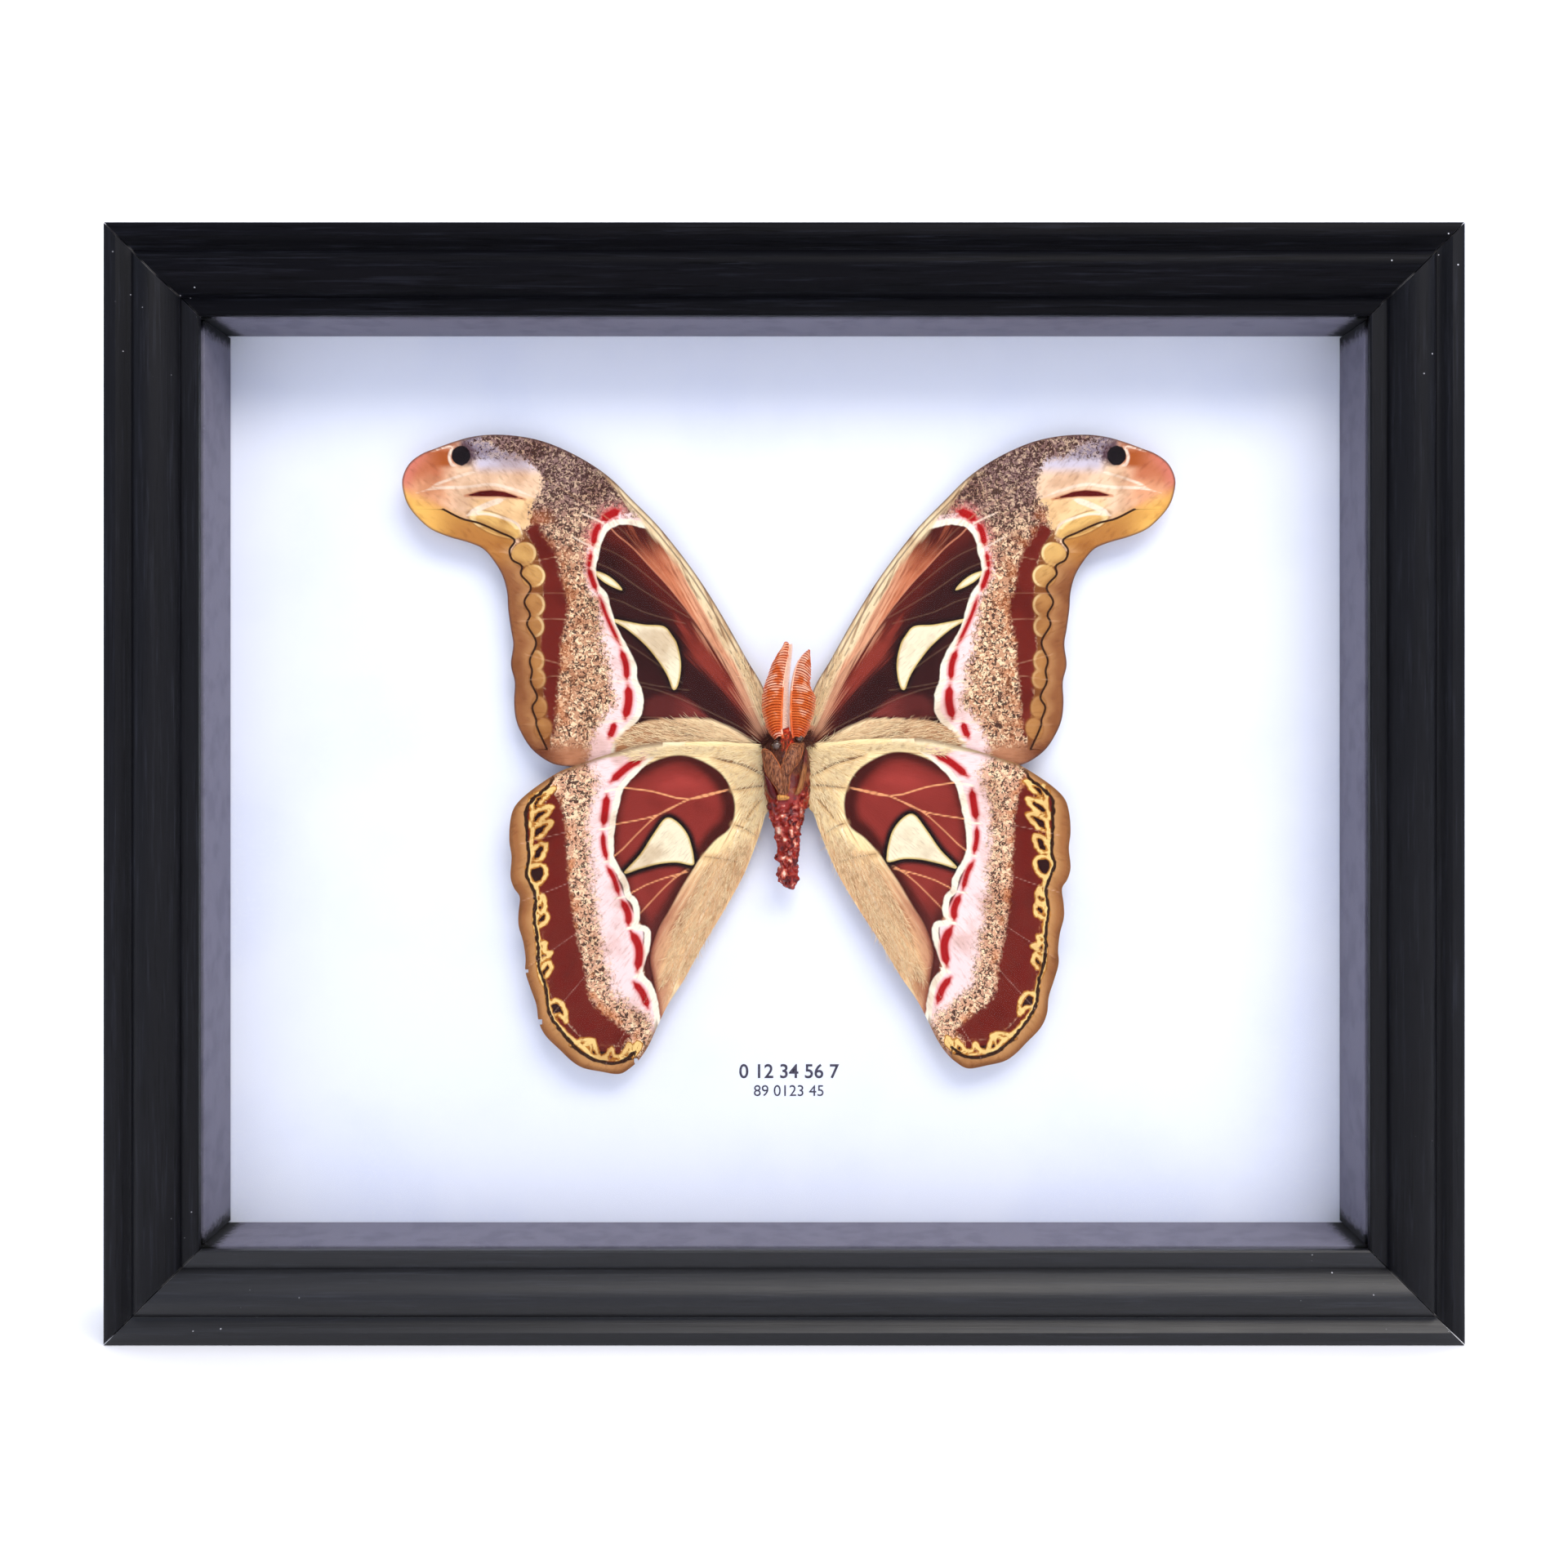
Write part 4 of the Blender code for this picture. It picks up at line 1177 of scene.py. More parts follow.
# %% Forewing discal area
def fill_forewing(paint, wing):
    """The dark discal area inside the white line, with its vein and red glow."""
    wing.inner = paint.rise(wing.past_white, 0.1, -0.1)
    not_top = paint.rise(
        paint.less(paint.waver(wing.up, wing.broad, 10), paint.times(wing.costal, 0.4)), 57, 46
    )
    paint.coat(DARK_MAROON, wing.inner)
    paint.coat(
        linear(96, 28, 20), paint.rise(paint.waver(wing.costal, wing.broad, 8), -8, -0.5), wing.inner, 0.8
    )
    middle = paint.rise(paint.waver(wing.middle_red, wing.streaks, 5), -0.8, 2.2)
    paint.coat(linear(136, 50, 38), middle, wing.inner)
    paint.coat(linear(168, 76, 50), middle, wing.inner, paint.rise(wing.costal, -3.5, 0.0), 0.7)
    low_glow = paint.rise(paint.waver(wing.lower_red, wing.streaks, 3), -0.8, 1.6)
    paint.coat(
        paint.mix(linear(124, 50, 44), linear(88, 32, 28), paint.rise(wing.out, 24, 32)), low_glow,
        wing.inner,
    )
    near_vein = paint.times(paint.rise(wing.costal, -0.2, 0.2), wing.inner)
    paint.coat(linear(78, 24, 17), near_vein)
    paint.coat(linear(146, 62, 42), near_vein, paint.rise(paint.waver(wing.up, wing.streaks, 8), 58, 50))
    paint.coat(linear(198, 114, 78), near_vein, not_top)
    paint.coat(linear(220, 154, 114), near_vein, not_top, paint.rise(wing.streaks, 0.0, 0.16))
    paint.coat(linear(142, 70, 46), near_vein, paint.rise(wing.streaks, -0.03, -0.14), 0.8)
    light_vein = paint.rise(paint.math("ABSOLUTE", wing.costal), 0.34, 0.08)
    paint.coat(linear(206, 130, 96), light_vein, wing.inner, 0.75)
    paint.coat(NEAR_BLACK, paint.rise(wing.windows, -1.6, -0.2), wing.inner, 0.85)

# %% [markdown]
# Next come the lines, the band and the margin, then the snake's head at the tip. The head could be a
# picture laid on the wing, but soft-edged coats, each kept to its own heights and widths, give it
# from plain numbers.

# %% Forewing bands and head
def edge_forewing(paint, wing):
    """The lines, then the band and the tan margin outside it."""
    lay_lines(paint, wing.past_white, wing.red, wing.windows)
    ragged = paint.waver(wing.band, wing.grain, 3.4)
    paint.coat(BAND_MAROON, paint.rise(ragged, -1.1, 0.5), paint.rise(wing.past_band, 0.3, -0.1))
    paint.coat(linear(146, 60, 36), paint.rise(wing.band, 0.0, 1.6), paint.rise(wing.up, 16, 6), 0.7)
    paint.coat(linear(128, 72, 32), paint.rise(wing.past_band, -0.1, 0.3), paint.rise(wing.up, 62, 57))
    margin_tan = paint.mix(linear(146, 90, 52), linear(176, 122, 76), paint.rise(wing.past_black, 3.4, 0.4))
    paint.coat(margin_tan, paint.rise(wing.past_black, -0.1, 0.1), paint.rise(wing.up, 74, 66))
    foot = paint.times(
        paint.rise(paint.waver(wing.up, wing.grain, 5), 6.5, 1.5), paint.rise(wing.out, 50, 55)
    )
    paint.coat(paint.mix(linear(186, 124, 88), linear(112, 58, 32), paint.rise(wing.out, 57, 66)), foot)


def paint_head(paint, wing):
    """The snake's head at the tip."""
    wing.tip = paint.rise(
        paint.add(wing.head, paint.times(wing.grain, 6), paint.times(wing.lumps, 3)), -0.4, 0.9
    )
    paint.coat(linear(242, 202, 166), wing.tip)
    paint.coat(
        linear(206, 194, 206), wing.tip, paint.rise(wing.up, 73.6, 77.2), paint.rise(wing.out, 84, 80)
    )
    top = paint.times(wing.tip, paint.rise(paint.waver(wing.up, wing.grain, 3), 77.2, 79.6))
    speckle(paint, paint.times(top, paint.rise(wing.out, 88, 84)), linear(140, 124, 136), -0.5, 0.22)
    paint.coat(linear(146, 100, 86), top, paint.rise(wing.out, 84, 88))
    snout = paint.times(wing.tip, paint.rise(paint.waver(wing.out, wing.streaks, 8), 85, 92))
    paint.coat(linear(228, 160, 118), snout)
    paint.coat(linear(196, 112, 76), snout, paint.rise(paint.waver(wing.up, wing.lumps, 5), 70.4, 75))
    brow = paint.times(
        paint.rise(wing.out, 95.5, 90), paint.rise(wing.out, 86.6, 88.4),
        paint.between(wing.up, 76.2, 80.6, 2.0), wing.tip,
    )
    paint.coat(linear(170, 84, 36), brow)
    paint.coat(
        linear(216, 122, 104), snout, paint.rise(wing.rim, 4.0, 0.4), paint.rise(wing.out, 92, 98), 0.8
    )
    amber = paint.mix(linear(190, 130, 62), linear(244, 184, 94), paint.rise(wing.out, 84, 97))
    cheek = paint.rise(paint.waver(wing.yellow, wing.streaks, 3), -2.2, 1.8)
    paint.coat(amber, cheek, paint.rise(paint.waver(wing.out, wing.grain, 4), 74, 79), wing.tip)
    paint.coat(
        amber, paint.rise(wing.past_black, -0.1, 0.1), paint.rise(wing.up, 49, 57),
        paint.rise(wing.out, 68, 73),
    )
    under_lip = paint.times(
        paint.rise(wing.past_black, 0.0, 3.0), paint.rise(wing.out, 93, 83), paint.rise(wing.up, 48, 56)
    )
    paint.coat(linear(178, 114, 54), under_lip, 0.8)
    below_slit = paint.times(
        wing.tip, paint.rise(wing.up, 68.8, 67.4), paint.rise(wing.out, 85, 80),
        paint.rise(wing.yellow, 0.6, -0.4),
    )
    paint.coat(linear(248, 204, 146), below_slit, 0.9)

# %% [markdown]
# The small marks lie over all that: the ovals, the wavy black line, the slit, the eye spot and the
# hair along both edges. Then all the parts are put together into one finish.

# %% Forewing marks and fur
def mark_forewing(paint, wing):
    """The ovals, the black line, streaks, slit and eye spot."""
    bead = paint.mix(linear(178, 122, 68), linear(226, 178, 104), paint.rise(wing.up, 38, 60))
    paint.coat(linear(142, 86, 40), paint.rise(wing.ovals, -0.7, -0.1), 0.7)
    paint.coat(bead, paint.rise(wing.ovals, -0.3, 0.15))
    near_band = paint.rise(paint.waver(wing.past_band, wing.grain, 1.5), 2.2, 0.3)
    paint.coat(
        linear(250, 220, 160), paint.between(wing.ovals, -0.1, 0.5, 0.4), near_band,
        paint.rise(wing.up, 5, 62), 0.85,
    )
    paint.coat(
        linear(156, 100, 48), paint.rise(wing.past_black, -1.7, -0.3), paint.rise(wing.ovals, -0.2, 0.6),
        0.6,
    )
    paint.coat(BLACK_LINE, paint.rise(paint.math("ABSOLUTE", wing.past_black), 0.4, 0.16))
    paint.coat(linear(252, 228, 204), paint.rise(wing.pale, -0.22, 0.25), 0.85)
    paint.coat(linear(196, 108, 60), paint.rise(wing.slit, -0.5, -0.05), 0.7)
    paint.coat(linear(88, 10, 6), paint.rise(wing.slit, -0.06, 0.1))
    dusky = paint.rise(paint.waver(wing.spot, wing.grain, 3), -2.3, -0.2)
    paint.coat(
        linear(78, 48, 56), dusky, paint.rise(wing.out, 86.4, 84.8), paint.rise(wing.up, 75.6, 77.4), 0.85
    )
    paint.coat(linear(20, 11, 15), paint.rise(paint.waver(wing.spot, wing.grain, 0.7), -0.1, 0.15))


def paint_front_edge(paint, wing):
    """The pale strip along the front edge, with pink hair inside it and dark streaks."""
    fringe = paint.rise(paint.waver(wing.strip, wing.streaks, 9.0), -4.0, -1.0)
    paint.coat(linear(228, 168, 130), fringe, paint.rise(wing.up, 56, 44), wing.inner, 0.75)
    strip_share = paint.times(
        paint.rise(paint.waver(wing.strip, wing.streaks, 3.0), -0.9, 0.4),
        paint.rise(paint.waver(wing.up, wing.grain, 10), 77, 70)
    )
    paint.coat(CREAM, strip_share)
    paint.coat(linear(206, 164, 116), strip_share, paint.rise(wing.broad, -0.02, 0.12), 0.7)
    paint.coat(linear(150, 112, 80), strip_share, paint.rise(wing.streaks, 0.05, 0.15), 0.75)
    paint.coat(linear(104, 76, 62), strip_share, paint.between(wing.rim, 1.1, 1.5, 0.3), 0.7)
    broken = paint.rise(paint.noise(2.2, detail=1), 0.44, 0.54)
    paint.coat(linear(124, 90, 66), strip_share, paint.between(wing.rim, 2.5, 2.9, 0.4), broken, 0.6)


def paint_rear_fur(paint, wing):
    """Fur along the rear edge, then the faint veins and the darker rim."""
    fur_share = paint.times(
        paint.rise(paint.waver(wing.fur, wing.streaks, 2.0), -0.3, 0.4),
        paint.rise(wing.past_white, 0.4, -0.8),
    )
    paint.coat(
        paint.mix(
            linear(246, 218, 172), linear(194, 138, 94),
            paint.rise(paint.waver(wing.out, wing.streaks, 30), 18, 44),
        ),
        fur_share,
    )
    paint.coat(
        linear(140, 94, 62), fur_share, paint.rise(paint.waver(wing.streaks, wing.broad, 0.5), 0.05, 0.15),
        0.8,
    )
    not_inside = paint.rise(wing.past_white, -0.6, 0.6)
    faint = paint.times(
        paint.rise(wing.veins, 0.3, 0.08), paint.rise(wing.tip, 1, 0),
        paint.add(0.09, paint.times(not_inside, 0.14)),
    )
    paint.coat(linear(226, 176, 136), faint)
    paint.coat(linear(92, 64, 60), paint.rise(wing.rim, 0.7, 0.05), 0.8)


def forewing_finish():
    paint = Painter("forewing_scales", roughness=0.75, specular=0.12)
    wing = read_masks(paint, FOREWING_MASKS)
    wing.streaks = along_wing(paint, 0.9)
    wing.broad = along_wing(paint, 2.6, 0.05)
    wing.grain = paint.less(paint.noise(0.8, detail=3, rough=0.7), 0.5)
    wing.lumps = paint.less(paint.noise(5.0, detail=3), 0.5)
    speckle_forewing(paint, wing)
    fill_forewing(paint, wing)
    edge_forewing(paint, wing)
    paint_head(paint, wing)
    mark_forewing(paint, wing)
    paint_front_edge(paint, wing)
    paint_rear_fur(paint, wing)
    scale_relief(paint, wing.streaks)
    return paint.done()


forewing_paint = forewing_finish()

# %% [markdown]
# The hindwing is painted the same way: fur, the pink and speckled bands, the disc, then the margin
# with its links.

# %% Hindwing finish
HINDWING_MASKS = {
    "bands": ("past_white", "band", "past_black"),
    "patches": ("loops", "window", "disc"),
    "areas": ("cores", "past_band", "costal"),
    "strokes": ("red", "pale", "creases"),
    "place": ("out", "up"),
    "edges": ("rim", "veins"),
}


def paint_fur(paint, wing):
    """The furry ground: cream at the root, tan down the inner edge."""
    paint.ground(linear(255, 228, 170))
    paint.coat(linear(240, 194, 142), paint.rise(paint.waver(wing.up, wing.broad, 20), -18, -34))
    paint.coat(linear(198, 148, 104), paint.rise(wing.streaks, 0.03, 0.16), 0.75)
    paint.coat(linear(255, 240, 192), paint.rise(wing.streaks, -0.05, -0.16), 0.7)
    stain = paint.times(
        paint.rise(paint.waver(wing.disc, wing.broad, 14), -7.5, -0.3), paint.rise(wing.up, -22, -46)
    )
    paint.coat(linear(186, 118, 90), stain, 0.8)
    paint.coat(linear(140, 70, 52), paint.rise(wing.disc, -1.6, -0.2), paint.rise(wing.up, -34, -50), 0.85)


def paint_bands(paint, wing):
    """The pink field, then the speckle, then the band."""
    wing.outer = paint.rise(wing.past_white, -0.1, 0.1)
    paint.coat(PINK, wing.outer)
    to_band = paint.add(wing.band, paint.times(wing.grain, 7.0), paint.times(wing.lumps, 3.0))
    near_top = paint.times(paint.rise(wing.up, -16, -4), 5.0)
    share = paint.times(paint.rise(paint.add(to_band, near_top), -8.0, -4.5), wing.outer)
    speckle(paint, share, linear(220, 166, 132), paint.times(wing.lumps, 1.5))
    paint.coat(
        linear(206, 118, 62), share, paint.rise(wing.band, -3.4, -0.8), paint.rise(wing.lumps, -0.04, 0.1),
        0.6,
    )
    ragged = paint.waver(wing.band, wing.grain, 3.4)
    paint.coat(BAND_MAROON, paint.rise(ragged, -0.9, 0.5), paint.rise(wing.past_band, 0.3, -0.1))
    paint.coat(BAND_MAROON, paint.rise(wing.past_band, -0.2, 0.2), wing.outer)
    paint.tint(linear(255, 190, 176), paint.rise(wing.band, 1, 3), paint.rise(wing.lumps, -0.1, 0.15), 0.6)

# %% [markdown]
# The disc is a clean shape with a dark rim, and the margin carries the yellow links. Both are drawn
# from stored distances: cut into the mesh, edges as crisp as theirs would need a far finer grid.

# %% Hindwing disc and margin
def fill_disc(paint, wing):
    """The disc with its dark rim and veins, a painted highlight on its upper inner part and painted shade
    low down.
    """
    paint.coat(linear(70, 20, 14), paint.rise(wing.disc, -0.5, 0.2))
    paint.coat(
        DISC_MAROON,
        paint.rise(paint.add(wing.disc, paint.times(paint.rise(wing.out, 26, 18), -1.2)), 0.5, 3.6),
    )
    # Painted highlight: a lighter red on the disc's upper inner part.
    paint.coat(
        linear(176, 64, 56), paint.rise(wing.disc, 3, 7), paint.rise(wing.up, -13, -4),
        paint.rise(wing.out, 44, 30), 0.8,
    )
    # Painted shade: the lower part of the disc is darker.
    paint.coat(linear(88, 32, 28), paint.rise(wing.disc, 0.1, 0.6), paint.rise(wing.up, -36, -48), 0.9)
    vein_share = paint.times(
        paint.rise(wing.veins, 0.34, 0.1), paint.rise(wing.disc, 0.2, 1.4), paint.rise(wing.up, -44, -36)
    )
    paint.coat(linear(240, 164, 112), vein_share, 0.95)
    paint.coat(NEAR_BLACK, paint.rise(wing.window, -2.0, -0.5), paint.rise(wing.disc, -0.2, 0.2))
    lay_lines(paint, wing.past_white, wing.red, wing.window)
    paint.coat(WHITE_LINE, paint.rise(wing.pale, -0.15, 0.15))


def edge_hindwing(paint, wing):
    """The strip at the front, margin, black line, yellow links and painted shade along each crease."""
    cream_strip = paint.rise(paint.waver(wing.costal, wing.streaks, 1.5), -0.4, 0.4)
    strip_colour = paint.mix(linear(254, 236, 194), linear(196, 146, 96), paint.rise(wing.out, 44, 60))
    paint.coat(strip_colour, cream_strip)
    margin_tan = paint.mix(
        linear(160, 102, 58), linear(194, 140, 86), paint.rise(wing.past_black, 3.0, 0.4)
    )
    paint.coat(margin_tan, paint.rise(wing.past_black, -0.1, 0.1))
    paint.coat(linear(44, 12, 10), paint.rise(wing.cores, -0.7, -0.2))
    wobble = paint.times(paint.less(paint.noise(1.4, detail=2), 0.5), 1.1)
    gold = paint.add(wing.loops, wobble)
    paint.coat(linear(184, 116, 40), paint.rise(gold, -0.42, -0.2))
    paint.coat(linear(244, 204, 128), paint.rise(gold, -0.14, 0.1))
    edge_line = paint.math("ABSOLUTE", paint.add(wing.past_black, wobble))
    paint.coat(BLACK_LINE, paint.rise(edge_line, 0.56, 0.3))
    # Painted shade along each crease: a soft brown beside it and a dark line in it.
    paint.coat(linear(206, 160, 108), paint.rise(wing.creases, -1.5, -0.1), 0.6)
    paint.coat(linear(112, 70, 40), paint.rise(wing.creases, -0.2, 0.1), 0.85)
    paint.coat(linear(236, 190, 170), paint.rise(wing.veins, 0.26, 0.06), wing.outer, 0.35)
    paint.coat(linear(120, 76, 44), paint.rise(wing.rim, 1.5, 0.2), wing.outer, 0.7)


def hindwing_finish():
    paint = Painter("hindwing_scales", roughness=0.75, specular=0.12)
    wing = read_masks(paint, HINDWING_MASKS)
    wing.streaks = along_wing(paint, 0.9)
    wing.broad = along_wing(paint, 3.0, 0.05)
    wing.grain = paint.less(paint.noise(0.8, detail=3, rough=0.7), 0.5)
    wing.lumps = paint.less(paint.noise(5.0, detail=3), 0.5)
    paint_fur(paint, wing)
    paint_bands(paint, wing)
    fill_disc(paint, wing)
    edge_hindwing(paint, wing)
    scale_relief(paint, wing.streaks)
    return paint.done()


hindwing_paint = hindwing_finish()

# %% [markdown]
# Both sides are made from the one sheet of each kind. The copy for the left is mirrored, the right
# hindwing is turned out a little further, as it is set on the board, and each gets its thickness
# last.

# %% Place the four wings
HINDWING_TURN = radians(1.8)


def turn_points(points, side, turn):
    """Turns points about the moth's middle in the wing's plane; side -1 mirrors them to the left."""
    out, up = points[:, 0].copy(), points[:, 2].copy()
    points[:, 0] = side * (out * cos(turn) - up * sin(turn))
    points[:, 2] = out * sin(turn) + up * cos(turn)
    return points


def nick(wing, nicks):
    """Takes small bites out of a wing's edge by deleting the cells that lie in these ovals."""
    bitten = oval_depth(nicks, read_points(wing.data)[:, [0, 2]]) > 0
    select_points(wing, bitten)
    bpy.ops.mesh.delete(type="VERT")
    leave_edit()
    print("nick cells", int(bitten.sum()))


def place_wing(sheet, name, side, turn, material, nicks=()):
    wing = sheet.copy()
    wing.data = sheet.data.copy()
    wing.name = name
    bpy.context.scene.collection.objects.link(wing)
    if nicks:
        nick(wing, nicks)
    points = turn_points(read_points(wing.data), side, turn)
    points += np.array((MOTH_X, FRONT_PLANE, MOTH_Z)) / MM
    write_points(wing.data, points * MM)
    face_outward(wing)
    wall = wing.modifiers.new("thickness", "SOLIDIFY")
    wall.thickness = WING_THICKNESS * MM
    wall.offset = 0
    apply_modifiers(wing)
    return finish_piece(wing, material, (name,), smooth=60)


for side, word in ((-1, "left"), (1, "right")):
    upper = place_wing(forewing, f"forewing_{word}", side, 0, forewing_paint)
    upper.name = f"forewing_{word}_scales"
    turn = HINDWING_TURN if side > 0 else 0
    nicks = HIND_NICKS if side < 0 else ()
    lower = place_wing(hindwing, f"hindwing_{word}", side, turn, hindwing_paint, nicks)
    lower.name = f"hindwing_{word}_scales"
for sheet in (forewing, hindwing):
    bpy.data.objects.remove(sheet)

# %% [markdown]
# The body dried dark and wet-looking. It is modelled as one skin: a ring of points is extruded down
# the body and scaled at each step, then rounded by subdivision. Lumps and creases are pushed in
# afterwards, deeper on the shrunken abdomen than on the breast. The abdomen is glossy, with painted
# spots where it catches the light.

# %% Body
BODY_LAYER = 24.0
# height, side shift, half width and half depth; the abdomen's depth follows its width
HEAD_AND_THORAX = (
    (9.0, -0.2, 0.7, 0.6), (8.0, -0.2, 1.8, 1.5), (6.4, -0.3, 2.7, 2.3), (4.6, -0.6, 4.3, 3.0),
    (2.7, -0.9, 5.6, 4.2), (0.5, -0.8, 6.0, 5.0), (-2.9, -0.6, 6.1, 5.4), (-6.5, -0.4, 6.0, 5.2),
    (-9.0, -0.3, 5.8, 4.8), (-10.8, -0.3, 5.4, 4.4),
)
ABDOMEN = (
    (-12.4, -0.4, 5.3), (-14.6, -0.4, 4.8), (-16.9, -0.2, 4.2), (-19.4, -0.1, 3.6), (-21.5, 0.0, 3.1),
    (-23.5, 0.0, 2.8), (-25.6, -0.4, 2.9), (-27.8, 0.1, 2.6), (-30.1, -0.4, 3.0),
)
ABDOMEN_TIP = ((-31.6, 0.0, 2.6, 2.4), (-32.8, 0.3, 1.8, 1.7), (-33.7, 0.5, 0.8, 0.7))
GROOVE = 0.88
BODY_SIDES = 28
# where the wet skin catches the light: x, height, half width, half height, tilt
GLINT_SPOTS = (
    (-2.6, -18.2, 0.7, 1.1, 10), (0.8, -18.5, 0.4, 1.1, 0), (-1.0, -20.7, 0.5, 0.6, 0),
    (1.7, -21.7, 0.4, 0.8, 10), (-1.2, -25.4, 0.8, 0.4, 20), (0.3, -26.1, 0.5, 0.4, 0),
    (-1.2, -29.5, 0.7, 0.8, 0), (3.3, -13.6, 0.3, 1.1, 0), (-1.5, -14.5, 0.8, 0.35, 0),
    (-2.3, -28.0, 0.4, 0.5, 0), (1.9, -12.0, 0.5, 0.3, 30), (2.4, -17.4, 0.3, 0.7, 0),
)


def body_rings():
    """Height, side shift, half width and half depth of every ring, from the head's tip down."""
    rings = list(HEAD_AND_THORAX)
    for (z, shift, width), (next_z, next_shift, next_width) in zip(ABDOMEN, ABDOMEN[1:]):
        rings.append((z, shift, width, width * 0.9))
        waist = GROOVE * (width + next_width) / 2
        rings.append(((z + next_z) / 2 - 0.35, (shift + next_shift) / 2, waist, waist * 0.88))
    z, shift, width = ABDOMEN[-1]
    return [*rings, (z, shift, width, width * 0.9), *ABDOMEN_TIP]


def body_front(x, z):
    """Millimetres from the frame's front plane back to the body's front surface; works on arrays."""
    rings = np.array(body_rings())[::-1]
    shift, half_width, half_depth = (np.interp(z, rings[:, 0], rings[:, channel]) for channel in (1, 2, 3))
    across = np.clip(np.abs(x - shift) / half_width, 0, 1)
    return BODY_LAYER - half_depth * np.sqrt(1 - across ** 2)


def to_moth(piece):
    """Takes a piece modelled in millimetres about the moth's middle to its place in the frame."""
    piece.scale = (MM, MM, MM)
    piece.location = (MOTH_X, FRONT_PLANE, MOTH_Z)
    return settle(piece)


def ring_skin(name, rings, layer):
    """Extrudes a circle of points from ring to ring and closes both ends."""
    z, shift, half_width, half_depth = rings[0]
    bpy.ops.mesh.primitive_circle_add(
        vertices=BODY_SIDES, radius=1, fill_type="NGON", location=(shift, layer, z)
    )
    skin = bpy.context.object
    skin.name = name
    skin.scale = (half_width, half_depth, 1)
    settle(skin)
    edit(skin)
    bpy.ops.mesh.select_all(action="SELECT")
    for before, after in zip(rings, rings[1:]):
        move = (after[1] - before[1], 0, after[0] - before[0])
        bpy.ops.mesh.extrude_region_move(TRANSFORM_OT_translate={"value": move})
        size = (after[2] / before[2], after[3] / before[3], 1)
        bpy.ops.transform.resize(value=size, center_override=(after[1], layer, after[0]))
    face_outward(skin)
    return skin


def crumple(piece):
    """Pushes lumps into a skin along its normals, in millimetres."""
    mesh = piece.data
    points = read_points(mesh)
    normals = np.empty(len(points) * 3)
    mesh.vertices.foreach_get("normal", normals)
    normals = normals.reshape(-1, 3)
    push = np.empty(len(points))
    for index, point in enumerate(points):
        place = Vector(point)
        wet = min(max((-9.5 - point[2]) / 2.5, 0), 1)
        broad_lump = noise.noise(place * 0.42) * 0.8
        lump = broad_lump + noise.noise(place * 0.95) * 0.7 + noise.noise(place * 2.2) * 0.1
        crease = -0.6 * max(0, 0.12 - abs(noise.noise(place * 0.6 + Vector((7, 3, 1))))) / 0.12
        breast = noise.noise(place * 1.1) * 0.5 + noise.noise(place * 2.6) * 0.14
        push[index] = wet * (lump + crease) + (1 - wet) * breast
    write_points(mesh, points + normals * push[:, None])


body = ring_skin("moth_body_skin", body_rings(), BODY_LAYER)
body.modifiers.new("rounding", "SUBSURF").levels = 2
body.modifiers["rounding"].render_levels = 2
apply_modifiers(body)
crumple(body)
store(body.data, "wet", oval_depth(GLINT_SPOTS, read_points(body.data)[:, [0, 2]]))
print("body points", len(body.data.vertices))

# %% [markdown]
# The abdomen is wine red and glossy, the breast duller and brown, and the head orange. One material
# covers them all and picks its colours by height, so that no seam shows between them.

# %% Body finish
def body_finish():
    paint = Painter("wine_red_body", roughness=0.2, specular=0.3)
    paint.shader.inputs["Coat Roughness"].default_value = 0.08
    height = paint.less(paint.split(paint.position, 2), MOTH_Z / MM)
    lumps = paint.noise(3.0, detail=3, rough=0.5)
    fine = paint.noise(0.9, detail=2)
    paint.ground(linear(146, 30, 20))
    # Painted shade: dark patches among the lumps.
    paint.coat(linear(90, 12, 14), paint.rise(lumps, 0.5, 0.4))
    paint.coat(linear(192, 66, 46), paint.rise(fine, 0.5, 0.64), 0.7)
    # Painted highlights: small pale pink spots where the noise peaks.
    paint.coat(linear(250, 190, 168), paint.rise(fine, 0.62, 0.68), paint.rise(lumps, 0.48, 0.56), 0.8)
    # Painted highlights: a pale red halo and a near-white core at each listed spot, where the glossy
    # abdomen catches the light.
    wet = paint.add(paint.attribute("wet", 0), paint.times(paint.less(fine, 0.5), 1.2))
    paint.coat(linear(218, 112, 86), paint.rise(wet, -0.35, 0.05))
    paint.coat(linear(255, 222, 198), paint.rise(wet, 0.08, 0.3))
    breast = paint.rise(paint.add(height, paint.times(paint.less(lumps, 0.5), 8)), -9.5, -6)
    paint.coat(linear(94, 28, 18), breast, 0.8)
    paint.coat(linear(158, 82, 46), breast, paint.rise(lumps, 0.52, 0.6), 0.8)
    nape = paint.rise(height, 1.0, 3.0)
    paint.coat(linear(72, 28, 18), nape)
    sideways = paint.math("ABSOLUTE", paint.add(paint.split(paint.position, 0), -MOTH_X / MM, 0.3))
    head = paint.times(
        paint.rise(paint.add(height, fine), 2.2, 3.4), paint.rise(paint.add(sideways, fine), 2.6, 1.7)
    )
    paint.coat(linear(218, 56, 18), head)
    paint.coat(linear(226, 104, 54), head, paint.rise(fine, 0.52, 0.62))
    paint.bump(fine, 0.1, 0.5)
    paint.put(paint.shader.inputs["Coat Weight"], paint.times(paint.invert(nape), 0.3))
    shine = paint.add(0.12, paint.times(nape, 0.5), paint.times(breast, 0.12), paint.times(fine, 0.12))
    return paint.done(roughness=shine)


to_moth(body)
finish_piece(body, body_finish(), ("moth_body",), smooth=60)

# %% [markdown]
# The eyes are small glossy balls, one on each side of the head.

# %% Eyes
# x, height, radius, side
EYES = ((-3.1, 3.7, 1.3, "left"), (2.9, 5.6, 1.0, "right"))
EYE_LAYER = 20.7


